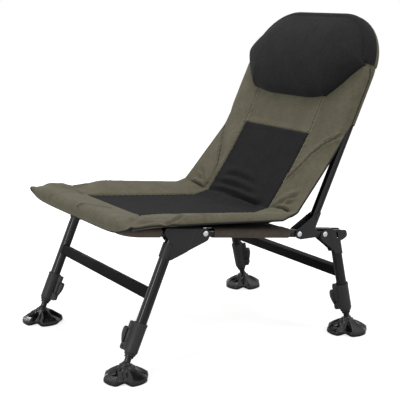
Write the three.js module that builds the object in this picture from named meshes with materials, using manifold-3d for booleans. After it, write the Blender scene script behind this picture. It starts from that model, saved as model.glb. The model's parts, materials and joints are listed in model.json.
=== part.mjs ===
// A carp fishing chair: a folding tubular frame, a sling with a padded mattress, and four telescopic
// legs on mud feet. Millimetres and degrees, +Z up. The sitter faces -Y, so the sitter's left is +X.
import * as THREE from 'three';
import { mergeVertices } from 'three/addons/utils/BufferGeometryUtils.js';
import Module from 'manifold-3d';

const wasm = await Module();
wasm.setup();

// Seat frame: two rails joined by a front tube, sloping down towards the back
const sideSpacing = 472;
const railDiameter = 20;
const railWall = 1.5;
const railBend = 34;
const frontHeight = 333;
const seatAngle = 7.4;
const frontPivotReach = 194;
const backPivotReach = 457;
const rearPivotStep = 78.5;
const railTail = 52.5;
const endCapDepth = 12;
const endCapFlange = 3;

// Clearances: what touches, what turns, what slides, and how far a cutting shape runs past its piece
const seatGap = 0.3;
const turningGap = 0.4;
const slidingGap = 0.4;
const cutOverrun = 5;

// Pressed brackets and their rivets
const plate = 1.8;
const rivetDiameter = 8;
const rivetHeadDiameter = 13;
const rivetHeadHeight = 2.6;
const pivotEnd = 13;
const bracketCover = 11.6;
const bracketCorner = 6;

// Front legs
const frontLegAngle = 23.4;
const frontOffset = 72.8;
const frontBracketDrop = 82;
const frontBracketNose = 31;
const frontBracketShoulder = 48;
const frontBracketHeel = 8;
const frontCrease = 29;
const frontBarDrop = 167.4;

// Rear legs
const rearLegAngle = 12.6;
const rearOffset = 34.1;
const rearBracketDrop = 69;
const rearBracketToe = 57;
const rearBracketWaist = 31;
const rearNoseReach = 63;
const rearNoseHeight = 17;
const rearCrease = 14;
const rearBarDrop = 114;
const slotWidth = 5;
const slotHeight = 16;

// Leg tubes, their crossbars and the telescopic inner legs
const legDiameter = 25;
const legWall = 1.5;
const barHeight = 26;
const barDepth = 19;
const barWall = 1.5;
const innerLegDiameter = 21;
const innerLegWall = 1.2;
const frontInnerRoom = 44;
const rearInnerRoom = 18.5;

// Leg locks: a moulded collar with a clamp ear and a lever between two lugs
const collarDiameter = 31;
const collarLength = 69;
const collarLip = 6;
const collarLipDiameter = 26.5;
const collarShoulder = 12;
const collarToBall = 30;
const earWidth = 13;
const earReach = 24;
const earLength = 21;
const lugWidth = 3;
const lugReach = 26;
const lugLength = 15;
const leverWidth = 9;
const leverLength = 43;
const leverTip = 32;
const leverThickness = 6.5;
const leverPivotRadius = 21;
const leverPivotHeight = 9;
const leverBoss = 5;
const pinDiameter = 4;
const leftLeverAngle = -135;
const rightLeverAngle = 45;

// Ball stems and mud feet
const ballDiameter = 23;
const neckDiameter = 15;
const stemFlange = 2.5;
const stemPlug = 14;
const ballHeight = 32;
const footRadius = 52.5;
const footLobe = 8;
const footRim = 3;
const footSkin = 5;
const socketGap = 0.8;
const socketOpening = 3.2;
const pegHoleDiameter = 6;
const pegHoleReach = 25;
const pegHoleAngle = 45;

// Back frame
const backAngle = 25.1;
const backTubeDiameter = 22;
const backOffset = 33;
const backTubeStart = 36;
const backReach = 553;
const backBend = 142;
const backPlateTop = 68;
const backPlateTail = 50;
const backPlateNotch = 26;
const tongueLength = 105;
const tongueWidth = 18;
const tongueThickness = 3;
const fixingDiameter = 5;
const fixingHeadDiameter = 9;
const fixingHeight = 52;

// Cloth sling
const cloth = 1.4;
const seatSag = 17;
const seatSagBack = 3;
const slingDipReach = 86;
const slingStart = 38;
const slingEndStep = 26;
const sleeveEndStep = 112;
const sleeveStartStep = 25;
const backSlingStart = 236;
const backSlingEndShare = 0.715;

// Mattress: a padded border round sunk panels, thin at its bound edge. Rises are above the rail's axis.
const padOverhang = 26;
const padEdge = 3;
const seatBinding = 8;
const padRest = 0.8;
const padSplit = 0.4;
const seatPadStep = 63;
const seatRollThickness = 17;
const borderRiseFront = 33;
const borderRiseBack = 47;
const panelWideShare = 0.572;
const panelRiseFront = 18;
const panelRiseBack = 33.5;
const bindingRiseFront = 6;
const bindingRiseBack = 33;
const cornerRollAngle = 50;
const creaseRise = 34;
const creaseForward = 66;
const wingRise = 45;
const wingForward = 66;
const wingMiddleRise = 130;
const wingMiddleForward = 43;
const wingTopRise = 205;
const wingTopForward = 22;
const wingEdgeForward = 10;
const lumbarRise = 139;
const lumbarForward = 46.6;
const shoulderRise = 214;
const shoulderForward = 36.5;
const backPadStart = 262;
const backPadEndShare = 0.955;
const backPadLowOverhang = 12;
const backPadOverhang = 9;
const backPadRearward = 14;
const backPadThickness = 17;
const creaseThickness = 20;

// Headrest pillow
const pillowStartShare = 0.247;
const pillowWideShare = 0.577;
const pillowLowShare = 0.636;
const pillowThickness = 44;
const pillowEdge = 12;
const pillowHood = 4;
const hoodReach = 13;
const hoodForward = 19.5;
const hoodRearward = 12;
const pillowFlap = 30;
const hoodAngle = 84;
const hoodShares = [[0, 0], [0.7, 0.03], [1, 0.22], [1, 0.58], [0.86, 0.86], [0.45, 0.98], [0, 1]];

// Facets
const tubeSides = 12;
const smallSides = 8;
const bendSteps = 5;
const footSides = 16;
const cornerSteps = 2;
const padRows = 8;
const padColumns = 12;
const rollRows = 4;
const creaseRows = 2;
const pillowFrontRows = 6;
const pillowColumns = 16;
const borderRowShares = [0.45, 0.88, 1];
const panelRowShares = [0.2, 0.4, 0.6, 0.8, 1];

// Worked out from the sizes above
const halfSpacing = sideSpacing / 2;
const railRadius = railDiameter / 2;
const legRadius = legDiameter / 2;
const backRadius = backTubeDiameter / 2;
const collarRadius = collarDiameter / 2;
const ballRadius = ballDiameter / 2;
const innerRadius = innerLegDiameter / 2;
const rivetRadius = rivetDiameter / 2;
const pinRadius = pinDiameter / 2;
const narrowInside = railRadius + turningGap;
const wideInside = legRadius + seatGap;
const backInside = backRadius + seatGap;
const rearPivotReach = backPivotReach + rearPivotStep;
const railReach = rearPivotReach + railTail;
const slingEnd = backPivotReach - slingEndStep;
const seatPadBack = backPivotReach - seatPadStep;
const frontSleeveEnd = frontPivotReach - sleeveEndStep;
const rearSleeveStart = frontPivotReach + sleeveStartStep;
const upTheBack = (share) => backPadStart + share * (backReach - backPadStart);
const backPadEnd = upTheBack(backPadEndShare);
const backSlingEnd = upTheBack(backSlingEndShare);
const pillowStart = upTheBack(pillowStartShare);
const pillowWide = upTheBack(pillowWideShare);
const padHalfWidth = halfSpacing + padOverhang;
const panelHalfWidth = halfSpacing * panelWideShare;
const backPadHalfWidth = halfSpacing + backPadLowOverhang;
const pillowLowHalfWidth = halfSpacing * pillowLowShare;
const sides = [['left', 1], ['right', -1]];

const radians = (degrees) => THREE.MathUtils.degToRad(degrees);
const sine = (degrees) => Math.sin(radians(degrees));
const cosine = (degrees) => Math.cos(radians(degrees));
const tangent = (degrees) => Math.tan(radians(degrees));

// Finishes
const finish = (color, roughness, metalness = 0) =>
  new THREE.MeshStandardMaterial({ color, roughness, metalness });
const blackSteel = finish(0x1b1b1c, 0.38, 0.3);
const bracketSteel = finish(0x2c2c2d, 0.5, 0.3);
const zincRivet = finish(0xd9dadb, 0.3, 0.9);
const lockPlastic = finish(0x38383a, 0.55);
const footPlastic = finish(0x232324, 0.4);
const capPlastic = finish(0x202021, 0.6);
const slingCloth = finish(0x4d4640, 0.9);
const oliveCloth = finish(0x6b6856, 0.95);
const blackCloth = finish(0x2e2e2e, 0.95);

// Turns a three.js geometry into a solid for joins and cuts, with its faces pointing out.
function solidOf(geometry) {
  const bare = geometry.clone();
  for (const name of Object.keys(bare.attributes)) {
    if (name !== 'position') bare.deleteAttribute(name);
  }
  const welded = mergeVertices(bare);
  const vertProperties = Float32Array.from(welded.attributes.position.array);
  const corners = Array.from(welded.index.array);
  const faces = [];
  let volume = 0;
  for (let i = 0; i < corners.length; i += 3) {
    const [a, b, c] = corners.slice(i, i + 3);
    if (a === b || b === c || c === a) continue;
    const [p, q, r] = [a, b, c].map((v) => new THREE.Vector3().fromArray(vertProperties, 3 * v));
    volume += p.dot(q.cross(r));
    faces.push([a, b, c]);
  }
  const triVerts = Uint32Array.from(faces.flatMap((face) => (volume > 0 ? face : face.reverse())));
  return new wasm.Manifold(new wasm.Mesh({ numProp: 3, vertProperties, triVerts }));
}

function geometryOf(body) {
  const { numProp, vertProperties, triVerts } = body.getMesh();
  const geometry = new THREE.BufferGeometry();
  geometry.setAttribute('position', new THREE.BufferAttribute(vertProperties, numProp));
  geometry.setIndex(new THREE.BufferAttribute(triVerts, 1));
  geometry.computeVertexNormals();
  return geometry;
}

const asSolid = (shape) => (shape instanceof THREE.BufferGeometry ? solidOf(shape) : shape);
const join = (...shapes) => shapes.map(asSolid).reduce((all, next) => all.add(next));
const cut = (shape, ...tools) =>
  tools.map(asSolid).reduce((rest, tool) => rest.subtract(tool), asSolid(shape));

// Adds a named piece to its group.
function add(group, name, shape, material) {
  const mesh = new THREE.Mesh(geometryOf(asSolid(shape)), material);
  mesh.name = name;
  group.add(mesh);
  return mesh;
}

function groupAt(parent, x, y, z, turn = 0) {
  const group = new THREE.Group();
  group.position.set(x, y, z);
  group.rotation.x = radians(turn);
  parent.add(group);
  return group;
}

// A turned solid about Z, from [radius, height] pairs that start and end on the axis or close.
function turned(profile, count = tubeSides) {
  const points = profile.map(([radius, height]) => new THREE.Vector2(radius, height));
  return new THREE.LatheGeometry(points, count).rotateX(Math.PI / 2);
}

const ring = (outer, inner, low, high, count) =>
  turned([[inner, low], [outer, low], [outer, high], [inner, high], [inner, low]], count);
const rod = (radius, low, high, count) => turned([[0, low], [radius, low], [radius, high], [0, high]], count);
const crossRod = (radius, low, high, count) => rod(radius, low, high, count).rotateY(Math.PI / 2);

function block(lowX, highX, lowY, highY, lowZ, highZ) {
  const geometry = new THREE.BoxGeometry(highX - lowX, highY - lowY, highZ - lowZ);
  return geometry.translate((lowX + highX) / 2, (lowY + highY) / 2, (lowZ + highZ) / 2);
}

// An outline whose corners [u, v, radius] are rounded.
function outline(corners) {
  const shape = new THREE.Shape();
  corners.forEach(([u, v, radius], i) => {
    const corner = new THREE.Vector2(u, v);
    const towards = (other) => new THREE.Vector2(other[0], other[1]).sub(corner).setLength(radius).add(corner);
    const from = towards(corners[(i + corners.length - 1) % corners.length]);
    const to = towards(corners[(i + 1) % corners.length]);
    if (i === 0) shape.moveTo(from.x, from.y);
    else shape.lineTo(from.x, from.y);
    if (radius > 0) shape.quadraticCurveTo(u, v, to.x, to.y);
  });
  shape.closePath();
  return shape;
}

// An outline in the side view, Y across and Z up, given a width along X and centred on X = 0.
function slab(corners, width) {
  const options = { depth: width, bevelEnabled: false, curveSegments: cornerSteps };
  const geometry = new THREE.ExtrudeGeometry(outline(corners), options).translate(0, 0, -width / 2);
  const axes = ['Y', 'Z', 'X'].map((axis) =>
    new THREE.Vector3(+(axis === 'X'), +(axis === 'Y'), +(axis === 'Z')));
  return geometry.applyMatrix4(new THREE.Matrix4().makeBasis(...axes));
}

// A path given point by point, stepped evenly so that its bends and straights keep their ends.
class Bend extends THREE.Curve {
  constructor(place) {
    super();
    this.place = place;
  }

  getPoint(share, target = new THREE.Vector3()) {
    return target.fromArray(this.place(share));
  }

  getUtoTmapping(share) {
    return share;
  }
}

// A round tube along a path.
function pipe(path, outer, inner, steps, count) {
  const section = new THREE.Shape().absarc(0, 0, outer, 0, 2 * Math.PI);
  if (inner > 0) section.holes.push(new THREE.Path().absarc(0, 0, inner, 0, 2 * Math.PI, true));
  const options = { extrudePath: path, steps, curveSegments: count / 2, bevelEnabled: false };
  return new THREE.ExtrudeGeometry(section, options);
}

// A closed cushion: top and bottom surfaces over a grid of u and v from 0 to 1, joined round the edge.
function cushion(top, bottom, rows, columns) {
  const positions = [];
  const faces = [];
  const width = columns + 1;
  for (const surface of [top, bottom]) {
    for (let i = 0; i <= rows; i += 1) {
      for (let j = 0; j <= columns; j += 1) positions.push(...surface(i / rows, j / columns));
    }
  }
  const under = (rows + 1) * width;
  const quad = (a, b, c, d) => faces.push(a, b, c, a, c, d);
  for (let i = 0; i < rows; i += 1) {
    for (let j = 0; j < columns; j += 1) {
      const a = i * width + j;
      quad(a, a + 1, a + width + 1, a + width);
      quad(under + a, under + a + width, under + a + width + 1, under + a + 1);
    }
    quad(i * width, (i + 1) * width, under + (i + 1) * width, under + i * width);
    const far = i * width + columns;
    quad(far, under + far, under + far + width, far + width);
  }
  for (let j = 0; j < columns; j += 1) {
    quad(j, under + j, under + j + 1, j + 1);
    const last = rows * width + j;
    quad(last, last + 1, under + last + 1, under + last);
  }
  const geometry = new THREE.BufferGeometry();
  geometry.setAttribute('position', new THREE.Float32BufferAttribute(positions, 3));
  geometry.setIndex(faces);
  return geometry;
}

// A rivet along X: a shank with a low domed head on each end, outside plates that reach halfWidth.
function rivet(halfWidth, radius, headRadius, headHeight) {
  const seat = halfWidth + seatGap;
  const dome = headRadius * 0.7;
  const end = [[radius, seat], [headRadius, seat], [headRadius, seat + headHeight / 2], [dome, seat + headHeight]];
  const lower = end.map(([across, along]) => [across, -along]).reverse();
  const profile = [[0, -seat - headHeight], ...lower, ...end, [0, seat + headHeight]];
  return turned(profile, smallSides).rotateY(Math.PI / 2);
}

// Across a cloth or cushion: -1 at one edge and 1 at the other, and how full the padding is there
const across = (v) => sine(90 * (2 * v - 1));
const rim = (w, squareness = 6) => Math.sqrt(Math.max(0, 1 - Math.abs(w) ** squareness));
const mix = (a, b, share) => a + (b - a) * share;

const chair = new THREE.Group();
const seat = groupAt(chair, 0, 0, frontHeight, -seatAngle);

// How far below the front tube a pivot lies, and so how high it is above the ground
const pivotHeight = (reach) => frontHeight - reach * sine(seatAngle);

// Side rails, with half of each front bend, plugged at the back end
function makeRail(side, sign) {
  const railSteps = bendSteps + 1;
  const line = new Bend((share) => {
    const step = share * railSteps;
    if (step < 1) return [0, railReach + (railBend - railReach) * step, 0];
    const turn = (90 * (step - 1)) / bendSteps;
    return [-sign * railBend * (1 - cosine(turn)), railBend * (1 - sine(turn)), 0];
  });
  const inside = railRadius - railWall;
  const holes = [frontPivotReach, backPivotReach, rearPivotReach].map((reach) =>
    crossRod(rivetRadius + turningGap, -railDiameter, railDiameter, smallSides).translate(0, reach, 0));
  const rail = cut(pipe(line, railRadius, inside, railSteps, tubeSides), ...holes);
  add(groupAt(seat, sign * halfSpacing, 0, 0), `seat_rail_${side}`, rail, blackSteel);
  const plugRadius = inside - seatGap;
  const capFrom = railReach + seatGap;
  const plug = turned([
    [0, railReach - endCapDepth],
    [plugRadius, railReach - endCapDepth],
    [plugRadius, capFrom],
    [railRadius, capFrom],
    [railRadius, capFrom + endCapFlange],
    [0, capFrom + endCapFlange],
  ], tubeSides).rotateX(-Math.PI / 2);
  add(groupAt(seat, sign * halfSpacing, 0, 0), `rail_end_cap_${side}`, plug, capPlastic);
}
for (const [side, sign] of sides) makeRail(side, sign);

const frontTubeHalf = halfSpacing - railBend - seatGap;
const frontTube = ring(railRadius, railRadius - railWall, -frontTubeHalf, frontTubeHalf, tubeSides);
add(seat, 'seat_front_tube', frontTube.rotateY(Math.PI / 2), blackSteel);

for (const [side, sign] of sides) {
  const x = sign * halfSpacing;
  const head = [rivetRadius, rivetHeadDiameter / 2, rivetHeadHeight];
  const pivots = [['front', frontPivotReach, narrowInside], ['rear', rearPivotReach, narrowInside],
    ['back', backPivotReach, backInside]];
  for (const [end, reach, inside] of pivots) {
    add(groupAt(seat, x, reach, 0), `${end}_pivot_rivet_${side}`, rivet(inside + plate, ...head), zincRivet);
  }
}

// A bracket pressed in one piece: wide round the leg, stepped in to the rail, open above and behind.
// The leg's axis is at legY and the step at creaseY; away is the side of the leg that the wrap closes.
function pressedBracket(corners, legY, creaseY, away, wrapTop, drop, railTurn) {
  const reach = 2 * drop + rearNoseReach + frontOffset;
  const outside = wideInside + plate;
  const towards = -away;
  const ordered = (a, b) => [Math.min(a, b), Math.max(a, b)];
  const strip = (half, a, b) => block(-half, half, ...ordered(a, b), -reach, reach);
  const shell = slab(corners, 2 * outside);
  const trims = sides.map(([, sign]) =>
    block(...ordered(sign * (narrowInside + plate), sign * (outside + cutOverrun)),
      ...ordered(creaseY, creaseY + towards * reach), -reach, reach));
  const legRoom = rod(wideInside, -reach, reach, tubeSides).translate(0, legY, 0);
  const wideRoom = strip(wideInside, legY, creaseY - towards * plate);
  const narrowRoom = strip(narrowInside, legY, creaseY + towards * reach);
  const railRoom = block(-wideInside, wideInside, -reach, reach, -railRadius - turningGap, reach);
  const beforeCrease = strip(wideInside + plate, creaseY - towards * plate, creaseY - towards * reach);
  const overRail = asSolid(railRoom.rotateX(radians(railTurn))).intersect(asSolid(beforeCrease));
  const hole = crossRod(rivetRadius + turningGap, -reach, reach, smallSides);
  const aboveWrap = block(-wideInside, wideInside, ...ordered(legY, legY + away * reach), wrapTop, reach);
  return cut(shell, ...trims, legRoom, wideRoom, narrowRoom, overRail, aboveWrap, hole);
}

const wrap = wideInside + plate;

// Front bracket outline about its pivot: Y towards the back, Z up the leg
const frontTurn = frontLegAngle - seatAngle;
const frontTop = (y) => y * tangent(frontTurn) + bracketCover / cosine(frontTurn);
const frontCorners = [
  [pivotEnd, pivotEnd, pivotEnd * 0.9],
  [pivotEnd, -pivotEnd, pivotEnd * 0.7],
  [-frontOffset + frontBracketHeel, -frontBracketDrop, bracketCorner / 2],
  [-frontOffset - wrap, -frontBracketDrop, 0],
  [-frontOffset - wrap, -frontBracketShoulder, bracketCorner / 2],
  [-frontOffset - frontBracketNose, frontTop(-frontOffset - frontBracketNose) - bracketCover, bracketCorner / 2],
  [-frontOffset - frontBracketNose, frontTop(-frontOffset - frontBracketNose), bracketCorner / 2],
  [-pivotEnd, frontTop(-pivotEnd), 0],
];

// Rear bracket outline about its pivot: Y towards the back, Z up the leg
const rearTurn = -rearLegAngle - seatAngle;
const rearTop = (y) => y * tangent(rearTurn) + bracketCover / cosine(rearTurn);
const rearCorners = [
  [pivotEnd, rearTop(pivotEnd), 0],
  [-pivotEnd, pivotEnd, pivotEnd * 0.9],
  [-pivotEnd, -pivotEnd * 0.8, pivotEnd * 0.6],
  [rearOffset - wrap, -rearBracketToe + bracketCorner, bracketCorner],
  [rearOffset - wrap, -rearBracketToe, 0],
  [rearOffset + wrap, -rearBracketDrop, 0],
  [rearOffset + wrap, -rearBracketWaist, bracketCorner / 2],
  [rearNoseReach, rearTop(rearNoseReach) - rearNoseHeight, bracketCorner],
  [rearNoseReach, rearTop(rearNoseReach), bracketCorner],
];

// The top of a leg tube stops just under the rail that crosses above it.
const legTop = (offset, turn) => {
  const rise = Math.abs(tangent(turn));
  return -((offset + legRadius) * rise) - railRadius / cosine(turn) - plate;
};

// A lock collar: its foot is at the origin, the leg runs along Z and the lever side is +X.
function collarShape() {
  const facet = cosine(180 / tubeSides);
  const bore = (legRadius + seatGap) / facet;
  const innerBore = (innerRadius + slidingGap) / facet;
  const lip = collarLipDiameter / 2;
  const body = turned([
    [0, -collarLip],
    [lip, -collarLip],
    [lip, 0],
    [collarRadius, 0],
    [collarRadius, collarLength],
    [0, collarLength],
  ], tubeSides);
  const root = collarRadius * cosine(35);
  const ear = block(root, earReach, -earWidth / 2, earWidth / 2,
    collarLength - earLength, collarLength - plate);
  const lugInside = leverWidth / 2 + turningGap;
  const lugs = sides.map(([, sign]) => {
    const [low, high] = [sign * lugInside, sign * (lugInside + lugWidth)].sort((a, b) => a - b);
    return block(root, lugReach, low, high,
      leverPivotHeight - lugLength / 2, leverPivotHeight + lugLength / 2);
  });
  const pinHole = rod(pinRadius + seatGap, -earReach, earReach, smallSides).rotateX(Math.PI / 2)
    .translate(leverPivotRadius, 0, leverPivotHeight);
  const legRoom = rod(bore, collarShoulder, 2 * collarLength, tubeSides);
  const innerRoom = rod(innerBore, -collarLength, collarLength, tubeSides);
  return cut(join(body, ear, ...lugs), pinHole, legRoom, innerRoom);
}

// The lever lies between the lugs and stands off the collar towards its free end.
function leverShape() {
  const outerEdge = leverTip - leverPivotRadius;
  const innerEdge = outerEdge - leverThickness;
  const paddle = slab([
    [-leverBoss * 0.2, 0, 0],
    [leverBoss, -leverBoss, leverBoss / 2],
    [outerEdge, leverLength - leverThickness / 2, leverThickness / 6],
    [outerEdge - leverThickness / 2, leverLength, leverThickness / 6],
    [innerEdge, leverLength - leverThickness / 2, leverThickness / 6],
  ], leverWidth);
  const boss = crossRod(leverBoss, -leverWidth / 2, leverWidth / 2, smallSides);
  const hole = crossRod(pinRadius + turningGap, -leverWidth, leverWidth, smallSides);
  return cut(join(paddle, boss), hole);
}

// A stem: a plug in the inner leg, a flange under its end, a neck and the ball at the origin.
function stemShape() {
  const plugRadius = innerRadius - innerLegWall - seatGap;
  const legEnd = collarToBall - collarLip - stemFlange;
  const neck = neckDiameter / 2;
  const neckTurn = THREE.MathUtils.radToDeg(Math.asin(neck / ballRadius));
  const ballTurns = [neckTurn, 67.5, 90, 112.5, 135, 157.5];
  return turned([
    [0, legEnd + stemPlug],
    [plugRadius, legEnd + stemPlug],
    [plugRadius, legEnd - seatGap],
    [innerRadius, legEnd - seatGap],
    [innerRadius, legEnd - seatGap - stemFlange],
    [neck, legEnd - seatGap - stemFlange],
    ...ballTurns.map((turn) => [ballRadius * sine(turn), ballRadius * cosine(turn)]),
    [0, -ballRadius],
  ], tubeSides);
}

// A mud foot about its ball's middle: four lobes that droop to the ground round a raised socket.
function footShape() {
  const socket = ballRadius + socketGap;
  const socketTurns = [157.5, 135, 112.5, 90];
  const lip = Math.sqrt(socket ** 2 - socketOpening ** 2);
  const collar = lip + footSkin * 0.6;
  const profile = [
    [0, -socket],
    ...socketTurns.map((turn) => [socket * sine(turn), socket * cosine(turn)]),
    [lip, socketOpening],
    [collar, socketOpening],
    [collar + footSkin * 0.6, -ballHeight * 0.3],
    [footRadius * 0.52, -ballHeight * 0.5],
    [footRadius * 0.85, -ballHeight * 0.68],
    [footRadius, -ballHeight + footRim],
    [footRadius - footRim, -ballHeight],
    [footRadius - footRim - footSkin, -ballHeight],
    [footRadius * 0.5, -ballHeight * 0.75],
    [0, -ballHeight * 0.68],
  ];
  const lobed = turned(profile, footSides);
  const place = lobed.attributes.position;
  for (let i = 0; i < place.count; i += 1) {
    const [x, y] = [place.getX(i), place.getY(i)];
    const radius = Math.hypot(x, y);
    const outness = Math.max(0, (radius - collar) / (footRadius - collar));
    const notch = (1 - Math.cos(4 * Math.atan2(y, x))) / 2;
    const share = radius > 0 ? (radius - footLobe * notch * outness) / radius : 1;
    place.setXY(i, x * share, y * share);
  }
  const peg = rod(pegHoleDiameter / 2, -ballHeight, ballRadius, smallSides);
  const [pegX, pegY] = [pegHoleReach * cosine(pegHoleAngle), pegHoleReach * sine(pegHoleAngle)];
  return cut(lobed, peg.translate(pegX, pegY, 0));
}

// One pair of legs with its brackets and crossbar, about its pivot: Y towards the back, Z up the leg.
function makeLegPair(end, reach, lean, offset, turn, corners, crease, innerRoom, barDrop, wrapTop) {
  const pair = groupAt(seat, 0, reach, 0, -turn);
  const ballDrop = (pivotHeight(reach) + Math.abs(offset) * sine(Math.abs(lean)) - ballHeight) / cosine(lean);
  const collarFoot = collarToBall - ballDrop;
  const tubeTop = legTop(Math.abs(offset), turn);
  const tubeFoot = collarFoot + collarShoulder + seatGap;
  const away = Math.sign(offset);
  for (const [side, sign] of sides) {
    const x = sign * halfSpacing;
    const drop = end === 'front' ? frontBracketDrop : rearBracketDrop;
    const shell = pressedBracket(corners, offset, crease, away, wrapTop, drop, turn);
    const windows = end === 'rear' ? [block(-wrap - cutOverrun, wrap + cutOverrun, offset - slotWidth / 2,
      offset + slotWidth / 2, -slotHeight - slotWidth, -slotWidth)] : [];
    add(groupAt(pair, x, 0, 0), `${end}_bracket_${side}`, cut(shell, ...windows), bracketSteel);

    const leg = groupAt(pair, x, offset, 0);
    const name = (piece) => `${end}_${side}_${piece}`;
    const tube = ring(legRadius, legRadius - legWall, tubeFoot, tubeTop, tubeSides);
    add(leg, `${end}_leg_tube_${side}`, tube, blackSteel);

    const lock = groupAt(leg, 0, 0, collarFoot);
    lock.rotation.z = radians(sign > 0 ? leftLeverAngle : rightLeverAngle);
    add(lock, name('lock_collar'), collarShape(), lockPlastic);
    const hinge = groupAt(lock, leverPivotRadius, 0, leverPivotHeight);
    hinge.rotation.z = -Math.PI / 2;
    add(hinge, name('lock_lever'), leverShape(), lockPlastic);
    const pinHalf = leverWidth / 2 + turningGap + lugWidth;
    add(hinge, name('lever_pin'), crossRod(pinRadius, -pinHalf, pinHalf, smallSides), zincRivet);

    const ball = groupAt(leg, 0, 0, -ballDrop);
    const innerFoot = collarToBall - collarLip - stemFlange;
    const innerTop = ballDrop + tubeTop - innerRoom;
    add(ball, name('inner_leg'),
      ring(innerRadius, innerRadius - innerLegWall, innerFoot, innerTop, tubeSides), blackSteel);
    add(ball, name('ball_stem'), stemShape(), footPlastic);
    const level = groupAt(ball, 0, 0, 0, lean);
    add(level, name('mud_foot'), footShape(), footPlastic);
  }
  const barHalf = halfSpacing - legRadius - seatGap;
  const bar = cut(block(-barHalf, barHalf, -barDepth / 2, barDepth / 2, -barHeight / 2, barHeight / 2),
    block(-sideSpacing, sideSpacing, barWall - barDepth / 2, barDepth / 2 - barWall,
      barWall - barHeight / 2, barHeight / 2 - barWall));
  add(groupAt(pair, 0, offset, -barDrop), `${end}_crossbar`, bar, blackSteel);
  return pair;
}

makeLegPair('front', frontPivotReach, frontLegAngle, -frontOffset, frontTurn, frontCorners, -frontCrease,
  frontInnerRoom, frontBarDrop, -frontBracketShoulder);
makeLegPair('rear', rearPivotReach, -rearLegAngle, rearOffset, rearTurn, rearCorners, rearCrease,
  rearInnerRoom, rearBarDrop, -rearBracketWaist);

// Back frame about its pivot: Y towards the back, Z up the back tubes
const backTurn = backAngle - seatAngle;
const back = groupAt(seat, 0, backPivotReach, 0, -backTurn);

// Back bracket: two plates round the rail, closed behind the tube, with a tongue that rests on the rail
function backBracketShape() {
  const outside = backInside + plate;
  const rear = backOffset + outside;
  const pivotRound = pivotEnd * 0.85;
  const plates = slab([
    [-pivotRound, pivotRound * 0.4, pivotRound * 0.4],
    [-pivotRound * 0.8, -pivotRound, pivotRound * 0.6],
    [pivotRound, -pivotRound, pivotRound * 0.4],
    [backPlateTail, pivotRound * 0.7, bracketCorner / 2],
    [backPlateTail, backPlateNotch - bracketCorner, bracketCorner / 2],
    [rear, backPlateNotch + bracketCorner, 0],
    [rear, backPlateTop, 0],
    [backOffset - backInside, backPlateTop * 0.8, bracketCorner / 2],
  ], 2 * outside);
  const tubeRoom = rod(backInside, -backPlateTop, 2 * backPlateTop, tubeSides).translate(0, backOffset, 0);
  const between = block(-backInside, backInside, -backPlateTop, backOffset, -backPlateTop, 2 * backPlateTop);
  const belowWrap = block(-backInside, backInside, backOffset - plate, 2 * rear,
    -backPlateTop, backPlateNotch);
  const pivotHole = crossRod(rivetRadius + turningGap, -rear, rear, smallSides);
  const fixingHole = crossRod(fixingDiameter / 2 + seatGap, -rear, rear, smallSides)
    .translate(0, backOffset, fixingHeight);
  const low = railRadius + seatGap;
  const tongue = block(-tongueWidth / 2, tongueWidth / 2, backPlateTail - backPlateNotch, tongueLength,
    low, low + tongueThickness).rotateX(radians(backTurn));
  const root = block(-backInside - plate / 2, backInside + plate / 2, backPlateTail - backPlateNotch,
    backPlateTail - bracketCorner, low, low + tongueThickness).rotateX(radians(backTurn));
  return join(cut(plates, tubeRoom, between, belowWrap, pivotHole, fixingHole), tongue, root);
}

for (const [side, sign] of sides) {
  const x = sign * halfSpacing;
  add(groupAt(back, x, 0, 0), `back_bracket_${side}`, backBracketShape(), bracketSteel);
  const fixing = rivet(backInside + plate, fixingDiameter / 2, fixingHeadDiameter / 2, rivetHeadHeight);
  add(groupAt(back, x, backOffset, fixingHeight), `back_tube_rivet_${side}`, fixing, zincRivet);
  const tubeEnd = backReach - backBend - seatGap;
  const straight = ring(backRadius, backRadius - railWall, backTubeStart, tubeEnd, tubeSides);
  const fixingRoom = crossRod(fixingDiameter / 2 + seatGap, -backTubeDiameter, backTubeDiameter, smallSides);
  add(groupAt(back, x, backOffset, 0), `back_tube_${side}`,
    cut(straight, fixingRoom.translate(0, 0, fixingHeight)), blackSteel);
}

// The arch over the top of the back: a bend, one straight step across, and the bend on the other side
const archSteps = 2 * bendSteps + 1;
const arch = new Bend((share) => {
  const step = share * archSteps;
  const near = Math.min(step, bendSteps);
  const far = Math.max(step - bendSteps - 1, 0);
  const turn = (90 * (near - far)) / bendSteps;
  const run = halfSpacing - backBend;
  const along = run * (1 - 2 * Math.min(1, Math.max(0, step - bendSteps)));
  const swing = backBend * cosine(turn) * (step > bendSteps ? -1 : 1);
  return [along + swing, 0, backReach - backBend * (1 - sine(turn))];
});
add(groupAt(back, 0, backOffset, 0), 'back_top_tube',
  pipe(arch, backRadius, backRadius - railWall, archSteps, tubeSides), blackSteel);

// How high the seat sling's underside lies above the rails' axes: level with the rails at its sides
function slingRise(x, reach) {
  const back = Math.max(0, reach - slingDipReach) / (slingEnd - slingDipReach);
  const sag = seatSag * Math.min(1, reach / slingDipReach) * (1 - back) + seatSagBack * back;
  return railRadius + seatGap - sag * Math.max(0, 1 - (x / halfSpacing) ** 2);
}

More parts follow.
